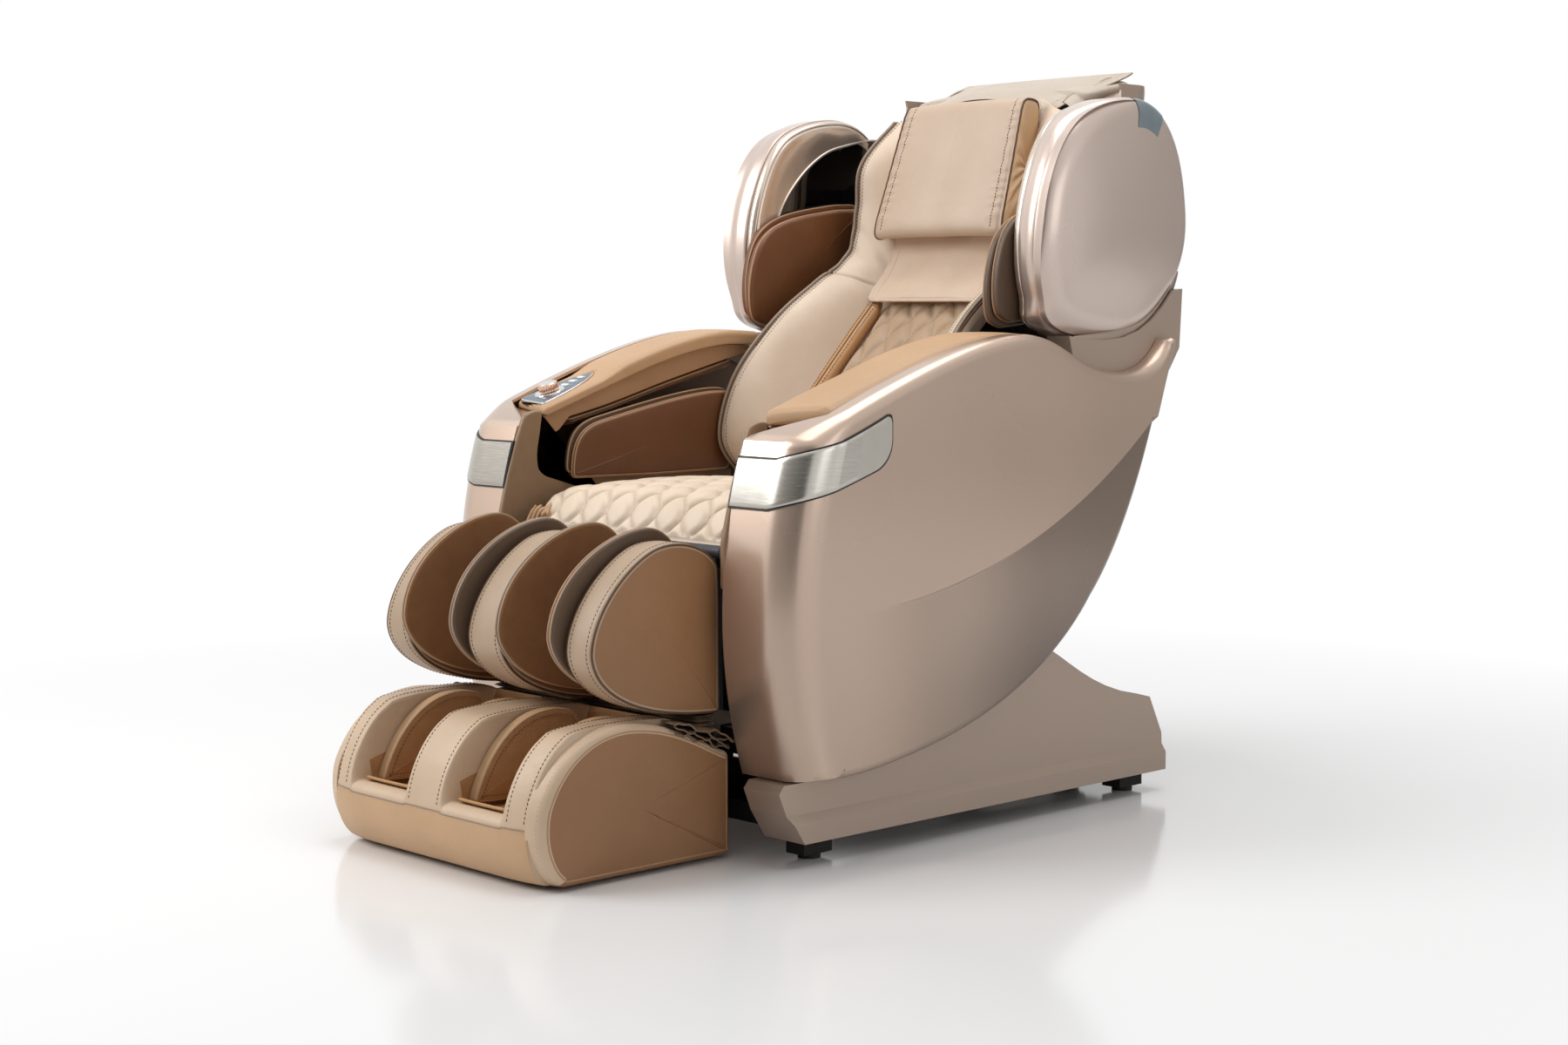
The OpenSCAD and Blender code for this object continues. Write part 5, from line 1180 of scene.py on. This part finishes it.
for s, nm in SIDES:
    g = Geo(s)
    back = ((5, 372), (5, 360), (5, 318.3), (0.8, 318.3), (0, 319.1), (0, 326))
    rings = [pod_taper(at_x(inset(POD, d), x)) for d, x in back]
    rings += [pod_row(a) for a in np.linspace(0, POD_EDGE, 22)]
    rings += [pod_cap(rings[-1], f) for f in np.linspace(0.97, 0.03, 16)]
    g.grid(A(rings), cv=True).disc(rings[-1])
    # collar that closes the slit between the pod and the neck cover
    k = ring_run((POD[:, 1] < 872) & (POD[:, 0] > 640))
    reach = np.sin(pi * np.linspace(0.02, 0.98, len(k)))[:, None] ** 0.6 * left_of(POD)[k]
    collar = A([at_x(POD[k] + d * reach, x) for x, d in ((364, 14), (364, -15), (352, -15), (352, 14))])
    g.grid(collar, cu=True, m=1).face(collar[:, 0], 1).face(collar[:, -1], 1)
    g.obj("pod_housing_" + nm, [SHELL_POD, BASE], "backrest", "pod_shell_" + nm, slot="shell")

    g = Geo(s)
    o = inset(POD, 2.5)
    rings = [at_x(inset(o, d), x) for d, x in (
        (40, 318), (0.6, 318), (0, 317.2), (0, 311), (1.2, 306.5), (4, 303), (7, 301.6), (8, 302.4),
        (9, 302.4), (10, 301.2), (13, 300.4), (24, 300.2))]
    rings += [at_x(about(A([760, 1010]), inset(o, 24), f), 300.3 + 2.2 * smooth((1 - f) * 3))
              for f in np.linspace(0.96, 0.04, 16)]
    rings = [pod_taper(q) for q in rings]
    g.grid(A(rings), cv=True).disc(rings[-1]).piping(WINDOW, 0.5, 301.6, 1.8, 0)
    g.obj("pod_face_" + nm, [SHELL_IN], "backrest", "pod_frame_" + nm, slot="shell")

    g = Geo(s)
    rows = [(1, 304), (0.995, 301.2), (0.985, 300.5)]
    rows += [(f, 300.5 - 0.7 * (1 - f**2)) for f in np.linspace(0.95, 0.03, 14)]
    rings = [at_x(about(WINDOW.mean(0), WINDOW, f), x) for f, x in rows]
    g.grid(A(rings), cv=True).disc(rings[-1])
    g.obj("pod_window_" + nm, [GLASS], "backrest", ["pod_windows"] if s > 0 else (), slot="smoked_panel")

    k = ring_run((POD[:, 0] > 778) & (POD[:, 0] < 854) & (POD[:, 1] > 1040))
    edge = pod_row(POD_EDGE, 0.9)
    rows = [pod_row(0.06, -1)] + [pod_row(a, 0.9) for a in np.linspace(0.06, POD_EDGE, 14)]
    rows += [pod_cap(edge, f) for f in (0.97, 0.94, 0.91, 0.88)] + [pod_cap(edge, 0.88, -2)]
    Geo(s).grid(A(rows)[:, k]).obj("pod_insert_" + nm, [INSERT], "backrest",
                                   ["pod_inserts"] if s > 0 else (), slot="insert_paint", angle=30)

SHOULDER = outline(
    220, 5, [[720, 792], [790, 884], [796, 986]], ([[740, 984], [650, 970], [560, 966], [536, 900]], 24),
    ([[536, 900], [516, 850], [520, 800], [534, 782]], 16), [[560, 776]])
SHOULDER_BACK = soften(SHOULDER + [5, 9], 220, 2)


def slack(p):
    """The leather of the bag's inner face lies in soft waves."""
    p[..., 0] += 1.5 * np.sin(p[..., 1] * 0.05 + p[..., 2] * 0.03) * (p[..., 0] < 276)
    return p


for s, nm in SIDES:
    # painted shade: the right bag is made all in the dark fin cloth, the left one in brown leather
    m, m_back = (3, 3) if s > 0 else (0, 2)
    g = Geo(s)
    g.slab(SHOULDER, (267.5, 284), (8, 4), (4.5, 0), (m, m, m), bend=slack, fall=2.6)
    g.piping(SHOULDER, 1.2, 274, 2.0, 1)
    g.slab(SHOULDER_BACK, (286, 299.4), (5, 3), (0, 0), (m_back, m_back, m_back))
    g.piping(SHOULDER_BACK, 0.6, 288, 1.8, 1)
    g.obj("shoulder_airbag_" + nm, [BROWN, PIPE, BROWN, FIN], "backrest", "shoulder_bag_" + nm,
          slot="leather_brown", pad=0.6)

# ---- leg rest -----------------------------------------------------------------------------------
REAR, FOOT_Z = -22.0, 217.0  # rear and foot of the calf pads
COARSE = (6.4, 4.2, 0.6)  # the visible thread of the leg and foot rests
CALF = outline(
    240, 3, ([[-265, 325], [-262, 262], [-170, 219], [REAR, FOOT_Z]], 40),
    [[REAR, FOOT_Z], [REAR, 300], [REAR, 380]], ([[REAR - 2, 434], [-44, 468], [-105, 482], [-150, 466]], 30),
    ([[-150, 466], [-200, 446], [-262, 385], [-265, 325]], 36))
WING = outline(
    240, 3, ([[-283, 345], [-280, 290], [-190, 236], [-70, 240]], 40),
    ([[-70, 240], [-40, 243], [REAR, 290], [REAR, 350]], 20),
    ([[REAR, 350], [REAR, 440], [-60, 492], [-110, 490]], 26),
    ([[-110, 490], [-180, 487], [-278, 430], [-283, 345]], 36))
WING_MIDDLE = 15  # ring of a wing's slab where its second material begins


def calf(name, side, x0, x1, inner, outer, cad_node):
    g = Geo(side)
    g.slab(CALF, (x0, x1), (7, 7), (4.6, 4), (1, 0, 2), k=6, nf=12, fall=3.2)
    g.piping(CALF, 2.6, x0 + 1.4, 1.9, 3).piping(CALF, 2.6, x1 - 1.4, 1.9, 3)
    for x in (x0 + 10.5, x1 - 10.5):
        g.stitches(at_x(inset(CALF, -0.2), x), at_x(-left_of(CALF), 0), 4, COARSE, True)
    g.obj(name, [STRIP, inner, outer, PIPE_DARK, THREAD_DARK], "legrest", cad_node,
          slot="leather_caramel", pad=0.85)


def lean(p):
    """The outer wings bend in towards their front and rear edges."""
    p[..., 0] -= 3.0 * ((p[..., 1] + 283) / 261 - 1) ** 2
    return p


for s, nm in SIDES:
    calf("calf_pad_outer_" + nm, s, 192, 249, LENS, SIDE, "calf_pad_" + nm)
calf("calf_pad_centre", 1, -39, 39, LENS, LENS, "calf_pad_middle")
for s, nm in SIDES:
    g = Geo(s)
    for x0, x1, swell, mats, bend in ((49.3, 63.3, (0, 4), (0, 2), A), (172.7, 186.7, (4, 0), (2, 0), lean)):
        g.slab(WING, (x0, x1), (5, 5), swell, mats, [WING_MIDDLE], bend, nf=10, fall=2.0)
        for off in (-3, 3):
            g.piping(WING, 0.8, (x0 + x1) / 2 + off, 1.6, 1, bend)
    g.obj("calf_wing_" + nm, [FIN, FIN_EDGE, LENS], "legrest", "calf_wings_" + nm,
          slot="leather_brown", pad=0.4)


# ---- foot rest ----------------------------------------------------------------------------------
def foot_corner(p):
    """The nose falls back a little towards both ends."""
    p = p.copy()
    t = np.clip((np.abs(p[..., 0]) - 160) / 100, 0, 1.02)
    p[..., 1] += 17 * t**2 * np.clip((-p[..., 1] - 190) / 170, 0, 1)
    return p


def open_path(n, *parts):
    return even(joined(*parts), n, False)


# sections through a column and through a foot well; they share the nose and the tail
NOSE = joined([[-335, 7]], ([[-350, 9], [-372, 24], [-380, 60], [-378, 84]], 14))
TAIL = open_path(30, ([[-100, 212], [-80, 200], [-60, 176], [-12, 157]], 14), [[-12, 157], [-12, 7]])
COLUMN = [
    open_path(26, [[-378, 84]], ([[-377, 92], [-374, 130], [-350, 176], [-318, 200]], 16), [[-318, 200]]),
    open_path(16, [[-318, 200]], ([[-296, 214], [-260, 220], [-230, 220], [-200, 220]], 10),
              [[-200, 220], [-150, 219]])[1:],
    open_path(14, [[-150, 219], [-120, 217], [-100, 212]])[1:]]
FOOT_WELL = [
    open_path(26, [[-378, 84]], ([[-377, 92], [-372, 104], [-354, 106], [-342, 96]], 14),
              [[-332, 82], [-318, 73]]),
    open_path(16, [[-318, 73], [-150, 84]])[1:],
    open_path(14, [[-150, 84]], ([[-136, 92], [-108, 112], [-104, 150], [-104, 180]], 10),
              [[-104, 180], [-104, 212]])[1:]]
column, well = np.vstack([NOSE, *COLUMN, TAIL]), np.vstack([NOSE, *FOOT_WELL, TAIL])
FOOT_W, SIDE_W = 236, 24  # half widths of the foot rest and of its outer columns
xs = np.unique(np.r_[np.linspace(-FOOT_W, -192, 12), np.linspace(-192, -178, 15), np.linspace(-178, -52, 30),
                     np.linspace(-52, -38, 15), np.linspace(-38, 0, 12)])
xs = np.unique(np.r_[xs, -xs])
in_well = smooth((np.abs(xs) - 41) / 8) * smooth((189 - np.abs(xs)) / 8)
P = column[None] + in_well[:, None, None] * (well - column)[None]
P = np.concatenate([np.broadcast_to(xs[:, None, None], P.shape[:2] + (1,)), P], 2)
# the front wrap swells a little and the columns are crowned
P[..., 1] -= 1.32 * np.cos(xs / FOOT_W * pi / 2)[:, None] * bell((P[..., 2] - 50) / 34) * (P[..., 1] < -330)
crown = np.clip(1 - ((np.abs(xs) - FOOT_W + SIDE_W) / SIDE_W) ** 2, 0, 1) + np.clip(1 - (xs / 44) ** 2, 0, 1)
P[..., 2] += 2.6 * crown[:, None] * np.clip((P[..., 2] - 110) / 40, 0, 1) * (P[..., 1] > -377)
P = foot_corner(P)
seam = len(NOSE) + 1
j = np.arange(P.shape[1] - 1)[None]
deep = 0.5 * (in_well[:-1] + in_well[1:])[:, None]
# the nose is tan, the wells are ribbed behind their pale front wall, and the rear is black
mat = np.where(j < seam, 1, np.where(deep > 0.55, 2, 0))
mat = np.where((deep > 0.5) & (j >= seam) & (j < seam + 16), 0, mat)
mat = np.where(j > len(column) - len(TAIL), 3, mat)
g = Geo()
g.grid(P, m=mat.ravel()).face(P[0]).face(P[-1])
g.tube(P[:, seam] + [0, -0.4, 0], 1.1, k=6, m=4)
for x in (-227, -198, -36, 36, 198, 227):
    line = P[np.argmin(np.abs(xs - x)), seam + 2:len(column) - len(TAIL) - 4]
    n = at_x(np.column_stack([-np.gradient(line[:, 2]), np.gradient(line[:, 1])]), 0)
    g.stitches(line + unit(n) * 0.3, n, 5, COARSE)
g.obj("foot_body", [PALE, TAN, RIB, BLACK, PIPE_GREY, THREAD_DARK], "footrest", "foot_shell",
      slot="leather_caramel", pad=0.9)

FOOT = outline(
    320, 3, [[-12, 7], [-12, 80]], ([[-12, 157], [-60, 176], [-120, 218], [-210, 220]], 30),
    ([[-210, 220], [-300, 220], [-356, 168], [-374, 118]], 30),
    ([[-374, 118], [-383, 85], [-378, 30], [-335, 7]], 26), [[-335, 7], [-200, 7]])
g = Geo()
for g.side in (1, -1):
    rings, _, edge = pad_rings(inset(FOOT, -1.2), 231, 261, 1, 12, 0, 2.2, k=8, nf=12, fall=5)
    mats = A(zones(rings, [edge], [0, 1])).reshape(len(rings) - 1, -1)
    mats[:, (FOOT[:, 0] > -16) | (FOOT[:, 1] < 12)] = 1  # no pale border at the rear and below
    rings = foot_corner(rings)
    g.grid(rings, cv=True, m=mats.ravel().astype(int)).disc(rings[0]).disc(rings[-1], 1)
    g.piping(FOOT, 8.0, 259.9, 1.5, 2, foot_corner)
    g.stitches(foot_corner(at_x(inset(FOOT, -0.6), 249.5)), at_x(-left_of(FOOT), 0.4), 3, COARSE, True)
g.obj("foot_side_panels", [PALE, SIDE, PIPE, THREAD_DARK], "footrest", "foot_side_pads",
      slot="leather_caramel", pad=0.85)

FOOT_BAG = outline(
    200, 3, ([[-330, 100], [-300, 92], [-200, 96], [-150, 106]], 16),
    ([[-150, 106], [-118, 130], [-120, 190], [-150, 214]], 16),
    ([[-150, 214], [-200, 232], [-290, 220], [-330, 100]], 30))
g = Geo()
for g.side in (1, -1):
    for x, r, swell, face, out in (((46.5, 66), (2, 6), (0, 4.5), 66, 1), ((164, 183.5), (6, 2), (4.5, 0), 164, -1)):
        g.slab(FOOT_BAG, x, r, swell, (0, 1, 0), [11, 18], nf=10).piping(FOOT_BAG, 2.2, face - 2 * out, 1.5, 2)
        line = at_x(inset(FOOT_BAG, 9.5), face + 1.4 * out)
        g.stitches(line, [out, 0, 0], 3, (6.2, 4, 0.55), True)
g.obj("foot_airbags", [RIB, TAN, PIPE, THREAD_DARK], "footrest", "foot_bags", slot="textile", pad=0.6)

g = Geo()
a, b = mesh(np.linspace(0, 1, 40), np.linspace(-1, 1, 24))
toe = bell(a / 0.08)
z = 84 + 6 * a + 24 * toe - 2.5 * (1 - b * b) * bell((a - 0.5) / 0.4)
P = np.stack([115 + 60 * b * (1 - 0.12 * toe), -356 + 203 * a, z], -1)
for g.side in (1, -1):
    g.cloth(P, A([0, 0, 1]), 2.4, 2.4).tube(border(P), 2.5, closed=True, m=1)
g.obj("foot_sole_pads", [TAN, CARAMEL], "footrest", "foot_soles", slot="leather_caramel", pad=0.4)

# ---- folded cloth between the calf pads and the foot rest ---------------------------------------
PLEATS = 4
g = Geo()
across = soften([[239, -60], [239, -30], [-239, -30], [-239, -60]], 260, 5)
rows = []
for t in np.linspace(0, 1, 65):
    pleat = 14 * abs((t * PLEATS % 1) * 2 - 1) ** 0.85 - 6
    wob = 1.4 * np.sin(across[:, 0] * 0.035 + t * 20) + 0.8 * np.sin(across[:, 0] * 0.11 + t * 13)
    rows.append(np.column_stack([inset(across, -pleat - 0.4 * wob), 184.5 + 31.5 * t + 0.5 * wob]))
g.grid(A(rows), cv=True)
U, T = mesh(np.linspace(0, 1, 46), np.linspace(0, 1, 12))
for g.side in (1, -1):
    for k in range(4):  # loose folds at the rear corners
        y = -128 + 6 * k + (116 - 6 * k) * U + 3 * np.sin(9 * T + k)
        x = 232 + (38 - 3 * k) * T**0.8 - 12 * (U - 0.5) ** 2 * T
        crumple = 3.4 * np.sin(U * (11 + 2 * k) + k * 1.7) + 1.4 * np.sin(U * 31 + 3 * k)
        z = np.interp(y, [-128, -100, -60, -12], [217, 213, 202, 184]) - 5.5 * k + (crumple - 5) * T
        P = np.stack([x, y, z], -1)
        g.grid(P).tube(P[:, -1], 1.5, k=6)
cloth = g.obj("foot_fold_cloth", [FOLD], None)
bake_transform(cloth)
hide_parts("foot_bellows")


def finish():
    bpy.context.view_layer.update()


# ---- floor and light ------------------------------------------------------------------------
def seen(nt):
    """1 for camera, glossy and transmission rays, else 0."""
    rays = node(nt, "LightPath").outputs
    out = rays["Is Camera Ray"]
    for name in ("Is Glossy Ray", "Is Transmission Ray"):
        out = node(nt, "Math", out, rays[name], operation="MAXIMUM").outputs[0]
    return out


def panel(name, w, h):
    """A flat panel for the stage with a material of its own, and that material's nodes."""
    m = bpy.data.materials.new(name)
    m.use_nodes = True
    me = bpy.data.meshes.new(name)
    me.from_pydata([(-w / 2, -h / 2, 0), (w / 2, -h / 2, 0), (w / 2, h / 2, 0), (-w / 2, h / 2, 0)], [],
                   [(0, 1, 2, 3)])
    me.materials.append(m)
    o = bpy.data.objects.new(name, me)
    bpy.context.scene.collection.objects.link(o)
    return o, m.node_tree


def floor():
    """White floor that fades into the white world."""
    o, nt = panel("floor", 80, 80)
    b = nt.nodes["Principled BSDF"]
    b.inputs["Base Color"].default_value = (0.94, 0.94, 0.94, 1)
    b.inputs["Roughness"].default_value = 0.13
    b.inputs["Specular IOR Level"].default_value = 0.35
    co = node(nt, "TexCoord").outputs["Object"]
    away = node(nt, "VectorMath", co, operation="LENGTH").outputs["Value"]
    far = node(nt, "MapRange", away, 0.9, 2.4).outputs[0]
    white = node(nt, "Math", seen(nt), far, operation="MULTIPLY").outputs[0]
    glow = node(nt, "Emission", (1, 1, 1, 1), 1.0).outputs[0]
    mix = node(nt, "MixShader", white, b.outputs[0], glow).outputs[0]
    nt.links.new(mix, nt.nodes["Material Output"].inputs["Surface"])


def world():
    w = bpy.data.worlds.new("studio")
    bpy.context.scene.world = w
    w.use_nodes = True
    nt = w.node_tree
    dim = nt.nodes["Background"]
    dim.inputs["Color"].default_value = (1, 1, 1, 1)
    dim.inputs["Strength"].default_value = 0.34
    white = node(nt, "Background", (1, 1, 1, 1), 1.0).outputs[0]
    mix = node(nt, "MixShader", seen(nt), dim.outputs[0], white).outputs[0]
    nt.links.new(mix, nt.nodes["World Output"].inputs["Surface"])


def lamp(name, at, target, size, power):
    d = bpy.data.lights.new(name, "AREA")
    d.energy = power
    d.size = size
    o = bpy.data.objects.new(name, d)
    o.location = at
    o.rotation_euler = (Vector(target) - Vector(at)).to_track_quat("-Z", "Y").to_euler()
    bpy.context.scene.collection.objects.link(o)


def card(name, az, dist, z, w, h, lo, hi, left=1.0, right=1.0):
    """A studio card that only reflections see: lo at its foot, hi at its head, times left to right."""
    o, nt = panel(name, w, h)
    sides = node(nt, "SeparateXYZ", node(nt, "TexCoord").outputs["Object"]).outputs
    rise = node(nt, "MapRange", sides["Y"], -h / 2, h / 2, lo, hi).outputs[0]
    across = node(nt, "MapRange", sides["X"], -w / 2, w / 2, left, right).outputs[0]
    power = node(nt, "Math", rise, across, operation="MULTIPLY").outputs[0]
    glow = node(nt, "Emission", (1, 0.97, 0.94, 1), power).outputs[0]
    nt.links.new(glow, nt.nodes["Material Output"].inputs["Surface"])
    o.location = (dist * cos(radians(az)), dist * sin(radians(az)), z)
    o.rotation_euler = (Vector((0, 0, z)) - o.location).to_track_quat("Z", "Y").to_euler()
    o.visible_camera = o.visible_diffuse = o.visible_shadow = o.visible_transmission = False


floor()
world()
lamp("key", (-2.2, -2.9, 2.9), (0, 0, 0.6), 2.4, 105)
lamp("top", (0.2, 0.3, 3.3), (0, 0, 0.4), 2.4, 50)
lamp("fill", (3.9, 0.2, 1.7), (0, 0, 0.5), 1.6, 9)
card("card_dark", -68, 5.0, 1.5, 8.0, 6.0, 0.10, 0.16, 0.4, 4.0)
card("card_rear", 68, 5.2, 1.5, 6.0, 7.0, 0.3, 0.66, 0.6, 1.3)
card("card_front", -146, 2.9, 1.3, 1.2, 3.2, 0.75, 1.0)
bpy.context.scene.view_settings.view_transform = "Standard"

finish()
